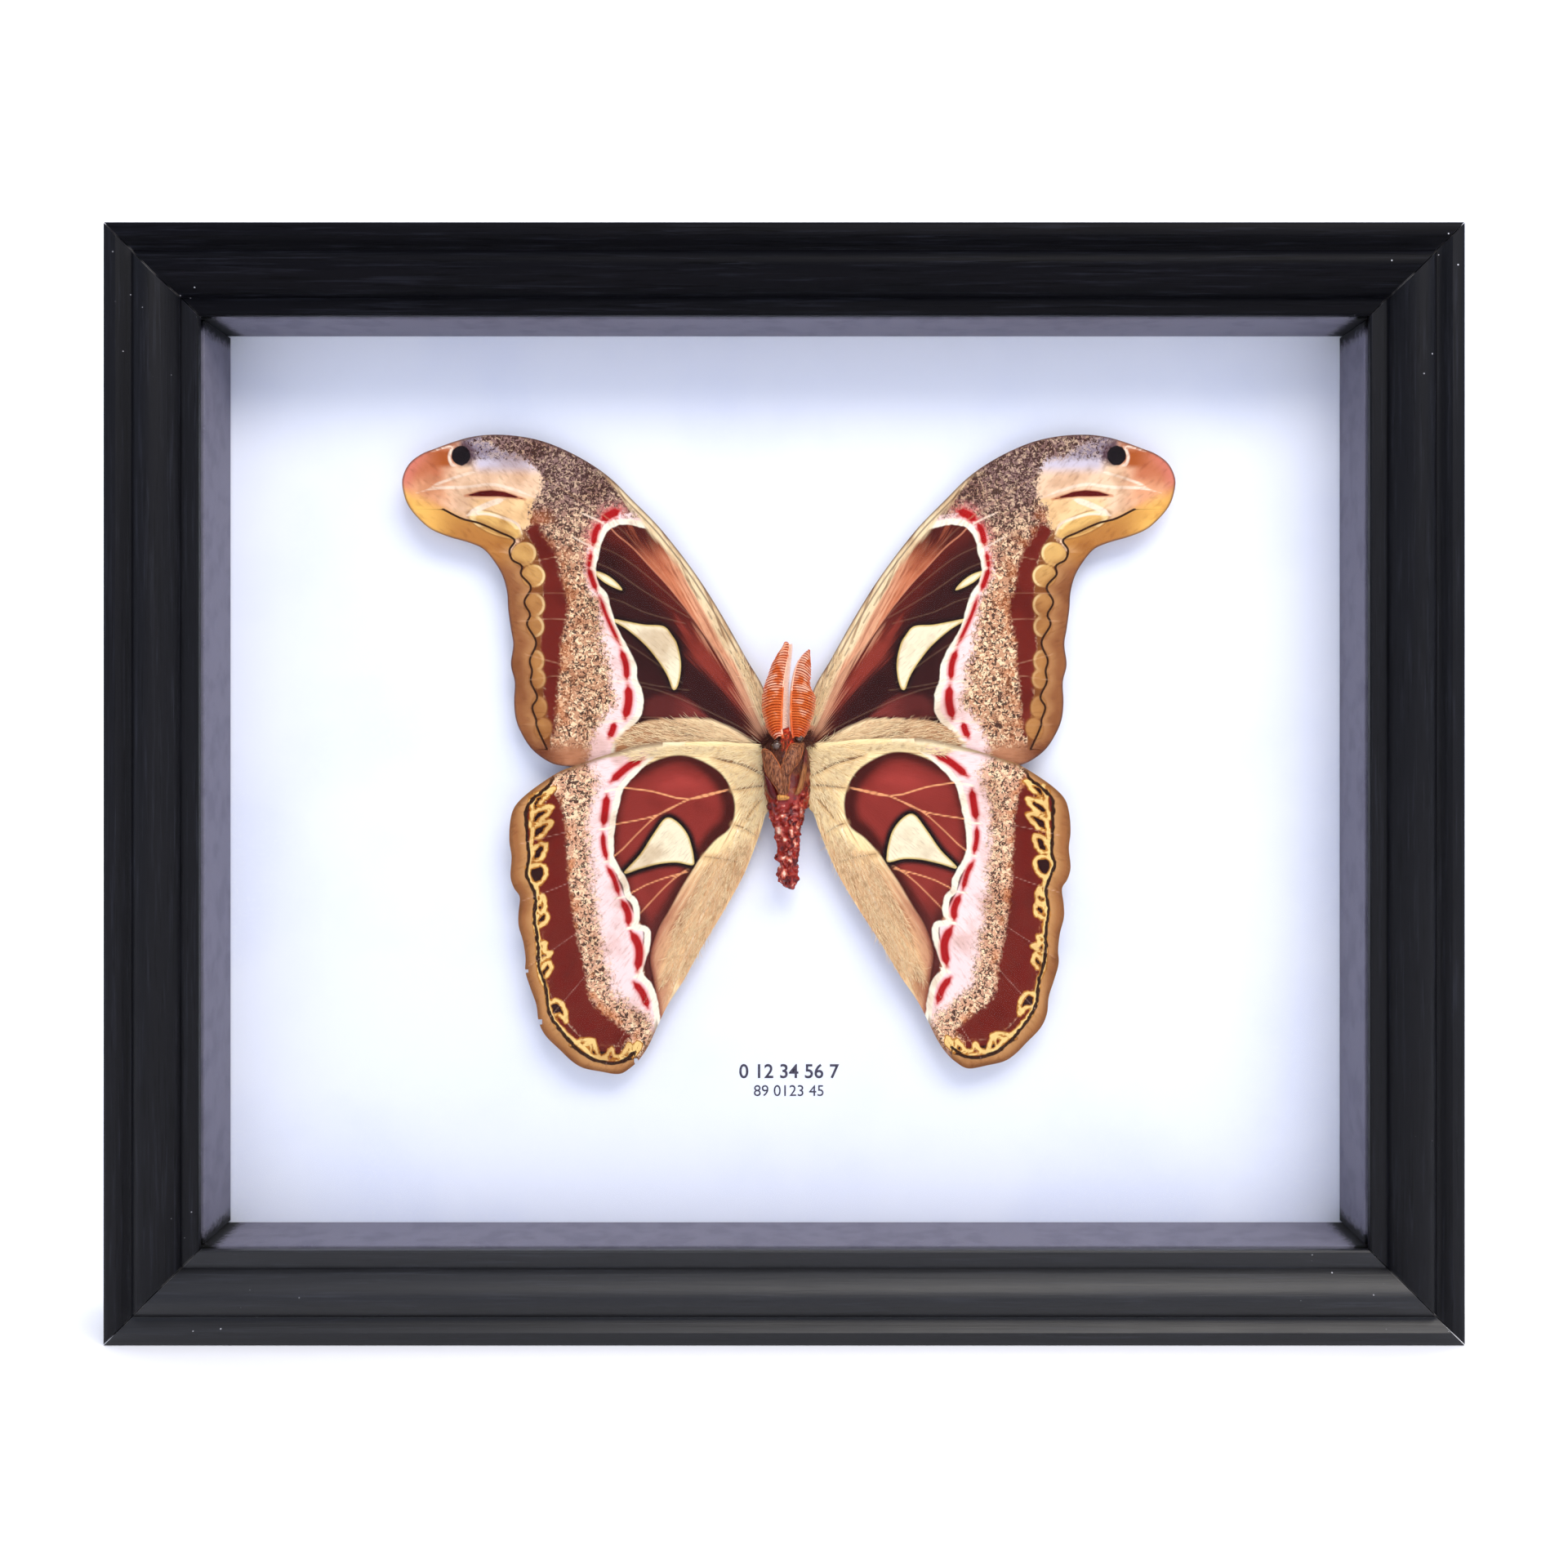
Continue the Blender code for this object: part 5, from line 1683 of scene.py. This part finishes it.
def eye_finish():
    paint = Painter("eye_gloss", roughness=0.18, specular=0.7)
    paint.ground(linear(56, 38, 32))
    paint.coat(linear(104, 78, 66), paint.rise(paint.noise(0.9, detail=3), 0.45, 0.65))
    paint.bump(paint.cells(0.16), 0.02, 0.6)
    return paint.done()


eye_paint = eye_finish()
for x, z, radius, word in EYES:
    bpy.ops.mesh.primitive_uv_sphere_add(
        segments=24, ring_count=14, radius=radius, location=(x, EYE_LAYER, z)
    )
    eye = bpy.context.object
    eye.name = f"eye_{word}"
    settle(eye)
    to_moth(eye)
    finish_piece(eye, eye_paint, smooth=60)

# %% [markdown]
# Five legs lie folded on the breast. Each is a leaf-like plate cut from a grid to its outline,
# swollen towards the viewer in the middle and laid over the breast.

# %% Legs
LEG_PITCH = 0.16
LEG_GAP = 0.95
# each leg's outline, and how far it swells towards the viewer
LEGS = {
    "foreleg_left": (
        (
            (-7.0, 2.6), (-5.0, 2.5), (-3.4, 0.6), (-2.2, -1.4), (-1.5, -4.0), (-1.1, -7.2), (-0.8, -9.0),
            (-2.3, -9.0), (-3.6, -6.8), (-5.6, -4.2), (-6.5, -1.0),
        ),
        0.8,
    ),
    "foreleg_right": (
        (
            (-1.9, -1.0), (-0.9, 1.6), (0.2, 3.8), (1.8, 4.4), (4.0, 4.4), (3.6, 1.6), (2.9, -0.4),
            (1.7, -2.0), (0.5, -4.0), (0.3, -6.6), (-0.2, -8.8), (-1.1, -8.8), (-1.9, -5.4), (-2.2, -2.6),
        ),
        0.9,
    ),
    "midleg_left": (
        ((-6.4, -3.6), (-5.2, -4.6), (-4.0, -6.8), (-3.0, -9.4), (-4.0, -10.2), (-5.6, -8.2)), 0.8,
    ),
    "midleg_right": (
        (
            (4.3, 2.6), (5.0, 1.2), (4.7, -2.4), (4.0, -6.0), (3.0, -8.4), (1.6, -8.9), (2.4, -6.4),
            (3.3, -2.8),
        ),
        0.6,
    ),
    "hindleg_left": (
        (
            (-3.0, -9.2), (-1.8, -8.8), (-0.4, -9.2), (0.3, -9.6), (-0.2, -10.2), (-1.8, -10.4),
            (-2.9, -10.2),
        ),
        0.7,
    ),
}


def leg_finish():
    paint = Painter("brown_leg_scales", roughness=0.5, specular=0.25)
    height = paint.less(paint.split(paint.position, 2), MOTH_Z / MM)
    rim = paint.attribute("edges", 0)
    kind = paint.attribute("edges", 1)
    furrows = paint.noise(0.35, detail=3, stretch=(1.0, 1.0, 0.25))
    blotch = paint.noise(1.4, detail=3)
    paint.ground(linear(138, 80, 48))
    paint.coat(linear(82, 40, 24), paint.rise(furrows, 0.5, 0.62))
    paint.coat(linear(180, 122, 84), paint.rise(furrows, 0.46, 0.36), 0.7)
    # Painted highlight: a pale orange rim along the legs' edges.
    paint.coat(linear(206, 112, 60), paint.rise(rim, 0.3, 0.05), paint.rise(blotch, 0.4, 0.6))
    paint.coat(linear(84, 16, 18), paint.between(kind, 0.5, 1.5, 0.1))
    golden = paint.times(
        paint.between(kind, 1.6, 2.5, 0.1), paint.rise(paint.add(height, paint.times(blotch, 3)), 1.5, -1.5)
    )
    paint.coat(linear(96, 34, 28), paint.between(kind, 1.6, 2.5, 0.1))
    paint.coat(linear(164, 104, 56), golden)
    paint.coat(linear(222, 156, 78), paint.rise(kind, 2.6, 2.9))
    paint.coat(linear(110, 62, 36), paint.rise(kind, 1.6, 1.7), paint.rise(furrows, 0.5, 0.62), 0.7)
    paint.bump(furrows, 0.12, 0.8)
    return paint.done(roughness=paint.add(0.5, paint.times(paint.between(kind, 0.5, 1.5, 0.1), -0.28)))


LEG_KINDS = {"midleg_left": 1, "midleg_right": 2, "hindleg_left": 3}
leg_paint = leg_finish()
for name, (outline_points, swell) in LEGS.items():
    outline = smooth_run(outline_points, closed=True)
    leaf = trim_to(
        flat_grid(f"{name}_leaf", outline.min(0) - 0.2, outline.max(0) + 0.2, LEG_PITCH), outline, LEG_PITCH
    )
    points = read_points(leaf.data)
    spots = points[:, [0, 2]]
    rim_gap, _ = distance_to(outline, spots, closed=True)
    store(leaf.data, "edges", rim_gap, LEG_KINDS.get(name, 0))
    share = np.clip(rim_gap / rim_gap.max(), 0, 1)
    rise = swell * np.sqrt(1 - (1 - share) ** 2)
    points[:, 1] = body_front(spots[:, 0] * 0.85, spots[:, 1]) - LEG_GAP + 0.35 - rise
    write_points(leaf.data, points)
    leaf.modifiers.new("wall", "SOLIDIFY").thickness = 0.5
    apply_modifiers(leaf)
    face_outward(leaf)
    to_moth(leaf)
    finish_piece(leaf, leg_paint, (name,), smooth=50)

# %% [markdown]
# Fine rods serve the antennae's barbs and all the hair. One function lays many tapered rods into one
# mesh: each has a run of middle points, and a ring of corners stands round each point.

# %% Rods
def rods(name, runs, half_widths, corners=3):
    """One mesh of many tapered rods. runs is rods x points x 3, half_widths is rods x points."""
    runs = np.asarray(runs, float)
    half_widths = np.asarray(half_widths, float)
    count, length = runs.shape[:2]
    forward = np.gradient(runs, axis=1)
    forward /= np.linalg.norm(forward, axis=2, keepdims=True) + 1e-12
    helper = np.where(np.abs(forward[..., 1:2]) < 0.9, (0.0, 1.0, 0.0), (1.0, 0.0, 0.0))
    side = np.cross(forward, helper)
    side /= np.linalg.norm(side, axis=2, keepdims=True) + 1e-12
    up = np.cross(side, forward)
    turns = np.arange(corners) * 2 * pi / corners
    ring = side[:, :, None] * np.cos(turns)[:, None] + up[:, :, None] * np.sin(turns)[:, None]
    points = (runs[:, :, None] + ring * half_widths[:, :, None, None]).reshape(-1, 3)
    base = np.arange(count)[:, None, None] * length * corners
    along = np.arange(length - 1)[None, :, None] * corners
    near = np.arange(corners)[None, None, :]
    far = (near + 1) % corners
    quads = np.stack([base + along + near, base + along + far, base + along + corners + far,
                      base + along + corners + near], axis=-1).reshape(-1, 4)
    caps_start = (np.arange(count)[:, None] * length * corners + np.arange(corners)[::-1][None])
    caps_end = (np.arange(count)[:, None] + 1) * length * corners - corners + np.arange(corners)[None]
    faces = [*quads.tolist(), *caps_start.tolist(), *caps_end.tolist()]
    mesh = bpy.data.meshes.new(name)
    mesh.from_pydata(points.tolist(), [], faces)
    piece = bpy.data.objects.new(name, mesh)
    bpy.context.scene.collection.objects.link(piece)
    face_outward(piece)
    return piece


def resample(points, count):
    """The same curve as points, at evenly spaced places."""
    run = smooth_run(points)
    steps = np.concatenate([[0], np.cumsum(np.linalg.norm(np.diff(run, axis=0), axis=1))])
    places = np.linspace(0, steps[-1], count)
    return np.column_stack([np.interp(places, steps, run[:, channel]) for channel in range(run.shape[1])])

# %% [markdown]
# Each antenna is a feather: a curved shaft with a comb of close-set barbs on its outer side, arched
# towards the viewer, and a pale inner comb seen nearly edge-on.

# %% Antennae
SHAFTS = {
    "left": (
        (-1.5, 5.6), (-1.9, 8.0), (-1.8, 12.0), (-1.46, 18.8), (-0.7, 23.8), (0.0, 28.0), (0.1, 29.7),
        (-0.3, 30.3), (-0.8, 30.1),
    ),
    "right": (
        (1.2, 5.6), (0.9, 7.4), (0.6, 10.5), (0.6, 14.2), (0.9, 18.8), (1.6, 22.8), (2.6, 25.6),
        (4.2, 27.6), (5.6, 28.3),
    ),
}
COMB_EDGES = {
    "left": (
        (-3.3, 5.0), (-4.9, 6.6), (-6.2, 9.6), (-7.0, 14.0), (-6.6, 18.2), (-5.6, 21.2), (-4.4, 24.6),
        (-3.0, 27.1), (-1.1, 29.7),
    ),
    "right": (
        (3.3, 5.0), (4.6, 6.6), (5.9, 9.8), (6.9, 13.6), (6.9, 16.4), (5.6, 18.8), (5.7, 22.0), (5.7, 25.2),
        (5.4, 27.9),
    ),
}
BARBS = 34
ANTENNA_LAYER = 21.0
ANTENNA_SWELL = 1.3


def antenna(word):
    shaft = resample(SHAFTS[word], BARBS + 3)
    edge = resample(COMB_EDGES[word], BARBS + 3)
    side = -1 if word == "left" else 1
    stations = np.linspace(0, 1, 9)
    runs, widths, tones = [], [], []
    # a front row of barbs, and a row behind it that closes the gaps, painted darker as shade between the
    # front barbs
    for offset, behind, half_width, tone in ((0, 0.0, 0.23, 0.25), (0.5, 0.34, 0.27, 0.0)):
        for number in range(BARBS + 1):
            place = np.array([number + offset + 0.6])
            root = np.array([np.interp(place, range(len(shaft)), shaft[:, k])[0] for k in (0, 1)])
            tip = np.array([np.interp(place, range(len(edge)), edge[:, k])[0] for k in (0, 1)])
            reach = 1 + 0.035 * noise.noise(Vector((number * 0.9, offset, side)))
            flat = root + (tip - root) * stations[:, None] * reach
            sway = 0.2 * noise.noise(Vector((number * 0.7, 3, side)))
            flat[:, 1] += 0.55 * np.sin(stations * pi) + sway * stations
            arch = ANTENNA_LAYER + behind - ANTENNA_SWELL * np.sin(stations * pi * 0.9)
            runs.append(np.column_stack([flat[:, 0], arch, flat[:, 1]]))
            widths.append(half_width * (1 - 0.6 * stations ** 3))
            tones.append(tone + 0.12 * noise.noise(Vector((number * 1.7, offset, side + 5))))
    # the pale inner comb, seen nearly edge-on and widest at the foot
    inner_roots = resample(SHAFTS[word][1:-2], BARBS * 2)
    for number, root in enumerate(inner_roots):
        length = (2.2 if word == "left" else 0.7) * (1 - 0.62 * number / len(inner_roots))
        spread = stations * length
        runs.append(
            np.column_stack(
                [root[0] - side * spread, ANTENNA_LAYER + 0.4 + spread * 0.6, root[1] + spread * 0.3]
            )
        )
        widths.append(0.2 * (1 - 0.5 * stations))
        tones.append(1.0)
    comb = rods(f"antenna_{word}_comb", runs, widths, corners=4)
    tone = np.repeat(tones, len(stations) * 4)
    place = np.tile(np.repeat(stations, 4), len(runs))
    store(comb.data, "tone", tone, place)
    to_moth(comb)
    finish_piece(comb, antenna_paint, (f"antenna_{word}",), smooth=50)
    spine = resample(SHAFTS[word], 40)
    thick = np.linspace(0.36, 0.1, 40)
    run = np.column_stack([spine[:, 0], np.full(40, ANTENNA_LAYER - 0.15), spine[:, 1]])
    stalk = rods(f"antenna_{word}_shaft", [run], [thick], corners=8)
    store(stalk.data, "tone", 0.45)
    to_moth(stalk)
    finish_piece(stalk, antenna_paint, smooth=60)


def antenna_finish():
    paint = Painter("rust_antenna", roughness=0.34, specular=0.3)
    tone = paint.attribute("tone", 0)
    along = paint.attribute("tone", 1)
    patches = paint.noise(3.0, detail=3)
    height = paint.less(paint.split(paint.position, 2), MOTH_Z / MM)
    paint.ground(linear(234, 122, 58))
    # Painted shade: the back row, of low tone, is darker.
    paint.coat(linear(186, 70, 20), paint.rise(tone, 0.16, 0.0))
    paint.coat(linear(212, 88, 32), paint.rise(patches, 0.52, 0.4), 0.5)
    paint.coat(linear(206, 60, 16), paint.rise(height, 11, 6), 0.6)
    glints = paint.times(
        paint.rise(paint.add(patches, paint.times(height, 0.012)), 0.68, 0.8), paint.rise(tone, 0.16, 0.3)
    )
    paint.coat(linear(255, 206, 176), glints, 0.9)
    paint.coat(linear(240, 142, 100), paint.rise(along, 0.72, 1.0), 0.6)
    paint.coat(linear(240, 204, 182), paint.rise(tone, 0.6, 0.95))
    paint.bump(paint.noise(0.2, detail=2), 0.04, 0.6)
    return paint.done()


antenna_paint = antenna_finish()
for word in ("left", "right"):
    antenna(word)

# %% [markdown]
# Hair covers the breast, the wing roots and the inner edge of the hindwings. Hairs lie along the
# surface, root end low and tip a little raised, and are thin enough that each is only a few faces.

# %% Hair
rng = np.random.default_rng(7)


def scatter(outline, count):
    """Random places inside an outline."""
    loop = np.array(outline, float)
    found = np.empty((0, 2))
    while len(found) < count:
        trial = rng.uniform(loop.min(0), loop.max(0), (count * 2, 2))
        found = np.vstack([found, trial[is_inside(loop, trial)]])
    return found[:count]


def lay_hair(name, roots, headings, lengths, depths, lift, width, shade):
    """Hairs from flat places and headings. depths(x, z) is the surface, and lift raises the tips."""
    stations = np.linspace(0, 1, 4)
    count = len(roots)
    bend = rng.normal(0, 0.35, count)
    angles = headings[:, None] + bend[:, None] * stations
    steps = lengths[:, None] / 3 * np.ones(4)
    x = roots[:, :1] + np.cumsum(np.cos(angles) * steps, axis=1) - np.cos(angles[:, :1]) * steps[:, :1]
    z = roots[:, 1:] + np.cumsum(np.sin(angles) * steps, axis=1) - np.sin(angles[:, :1]) * steps[:, :1]
    y = depths(x, z) - 0.05 - lift[:, None] * stations
    half_widths = width * np.array([0.9, 1.0, 0.8, 0.25]) * np.ones((count, 1))
    hair = rods(name, np.stack([x, y, z], axis=-1), half_widths)
    tone = np.repeat(np.clip(shade + rng.normal(0, 0.16, count), 0, 1), 12)
    store(hair.data, "tone", tone, np.tile(np.repeat(stations, 3), count))
    return hair

# %% [markdown]
# The wings' hair is cream near the root and tan down the inner edge, and runs away from the body. It
# is laid in patches, which are then joined, so that each wing has a single piece of hair.

# %% Hair on the wings
def hair_finish(name, dark, light):
    paint = Painter(name, roughness=0.6, specular=0.3)
    tone = paint.attribute("tone", 0)
    paint.ground(dark)
    paint.coat(light, paint.rise(tone, 0.0, 1.0))
    paint.tint(linear(230, 222, 214), paint.rise(paint.noise(1.2, detail=2), 0.5, 0.7))
    return paint.done()


def wing_depth(layer, stand_off):
    return lambda x, z: layer - CAMBER * (np.abs(x) / 100) ** 1.5 - stand_off


def away_from(centre, places):
    arm = places - np.array(centre)
    return np.arctan2(arm[:, 1], arm[:, 0])


# outline, how many, centre the hair runs away from, shortest and longest, paleness
HIND_FUR = (
    (
        (
            (5.0, 2.2), (12, 3.6), (22, 3.2), (17, -1.5), (12.5, -7), (11.5, -17), (17, -23), (12, -24),
            (5, -12),
        ),
        1700, (0, 5), 1.2, 2.6, 0.95,
    ),
    (
        ((13, -21), (20, -25), (29, -42), (33, -58), (27, -56), (18, -40), (11, -27), (7.6, -18)), 2300,
        (4, 6), 1.8, 3.8, 0.6,
    ),
    (((18, 3.4), (30, 3.6), (42, 1.4), (40, -0.4), (30, 1.6), (20, 1.6)), 400, (0, 3), 1.4, 2.6, 1.0),
)
FORE_FUR = (
    (
        (
            (6, 4), (12, 6.0), (17, 8.4), (22, 10.0), (30, 10.0), (38, 8.8), (43, 6.4), (45, 4), (38, 2.5),
            (24, 3), (12, 4),
        ),
        650, (0, 1), 1.8, 3.8, 0.7,
    ),
    (((5.2, 12), (8.5, 20), (12.4, 27), (14, 27), (10.5, 18), (7.4, 10)), 200, (3, 2), 1.5, 3.0, 0.75),
)
wing_hair = hair_finish("wing_root_hair", linear(214, 148, 96), linear(255, 234, 188))
for side, word in ((-1, "left"), (1, "right")):
    for label, patches, layer in (("hind", HIND_FUR, HINDWING_LAYER), ("fore", FORE_FUR, FOREWING_LAYER)):
        turn = HINDWING_TURN if (label == "hind" and side > 0) else 0
        parts = []
        for number, (outline, count, centre, shortest, longest, shade) in enumerate(patches):
            places = scatter(outline, count)
            if label == "hind":
                places = places[stroke_depth(HIND_CREASES, places) < -0.35]
                count = len(places)
            hair = lay_hair(
                f"{label}wing_hair_{word}_{number}",
                places,
                away_from(centre, places) + rng.normal(0, 0.16, count),
                rng.uniform(shortest, longest, count),
                wing_depth(layer, 0.3),
                rng.uniform(0.05, 0.45, count),
                0.055, shade,
            )
            write_points(hair.data, turn_points(read_points(hair.data), side, turn))
            parts.append(hair)
        take(parts[0])
        for part in parts[1:]:
            part.select_set(True)
        bpy.ops.object.join()
        hair = bpy.context.object
        hair.name = f"{label}wing_hair_{word}"
        face_outward(hair)
        to_moth(hair)
        finish_piece(hair, wing_hair, smooth=0)


# %% [markdown]
# Short dark hair covers the breast, and a tuft stands where each wing begins. It follows the body's
# front, which is known from the rings that the body was extruded through.

# %% Hair on the breast
# outlines of the dark hair on the breast and of the tufts where the wings begin
BREAST = ((-6.2, 3.0), (-4.6, 5.6), (-2.4, 7.2), (2.0, 7.4), (4.4, 5.4), (5.2, 1.0), (5.4, -3), (-6.4, -3))
ROOT_TUFTS = (
    ((-6.8, 3.4), (-5.4, 7.0), (-3.2, 6.6), (-4.2, 4.4)), ((4.0, 4.0), (3.0, 6.8), (5.4, 7.4), (6.4, 3.6)),
)


def dark_hair(name, outline, count, width, shade):
    places = scatter(outline, count)
    headings = away_from((0, 9), places) + rng.normal(0, 0.5, count)
    hair = lay_hair(
        name, places, headings, rng.uniform(0.8, 1.9, count), lambda x, z: body_front(x * 0.94, z),
        rng.uniform(0.1, 0.9, count), width, shade,
    )
    to_moth(hair)
    return finish_piece(hair, breast_paint, smooth=0)


breast_paint = hair_finish("breast_hair", linear(72, 30, 24), linear(190, 116, 72))
dark_hair("breast_hair", BREAST, 1100, 0.05, 0.25)
for outline, word in zip(ROOT_TUFTS, ("left", "right")):
    dark_hair(f"root_tuft_{word}", outline, 260, 0.07, 0.1)

# %% [markdown]
# Below the moth the board carries a small two-line print. The real words aren't copied: plain numbers
# of the same size stand there, as a thin film of ink on the card.

# %% Print on the board
# words, width, height over the base, how much the strokes are thickened
INK_LINES = (("0 12 34 56 7", 26.4, 61.6, 0.012), ("89 0123 45", 18.4, 56.5, 0.0))
CARD_LAYER = 31.3


def ink_finish():
    paint = Painter("grey_ink", roughness=0.7, specular=0.2)
    paint.ground(linear(62, 58, 74))
    paint.coat(linear(84, 80, 98), paint.rise(paint.noise(0.5, detail=2), 0.5, 0.65))
    return paint.done()


ink = ink_finish()
for number, (words, width, height, weight) in enumerate(INK_LINES, 1):
    deselect()
    bpy.ops.object.text_add(location=(0, 0, 0))
    line = bpy.context.object
    line.data.body = words
    line.data.align_x = "CENTER"
    line.data.align_y = "CENTER"
    line.data.offset = weight
    line.data.extrude = 0.01
    line.name = f"print_line_{number}"
    bpy.ops.object.convert(target="MESH")
    line = bpy.context.object
    size = width * MM / line.dimensions.x
    line.scale = (size, size, size)
    line.rotation_euler = (pi / 2, 0, 0)
    line.location = (MOTH_X, FRONT_PLANE + (CARD_LAYER - 0.04) * MM, height * MM)
    settle(line)
    finish_piece(line, ink, smooth=0)
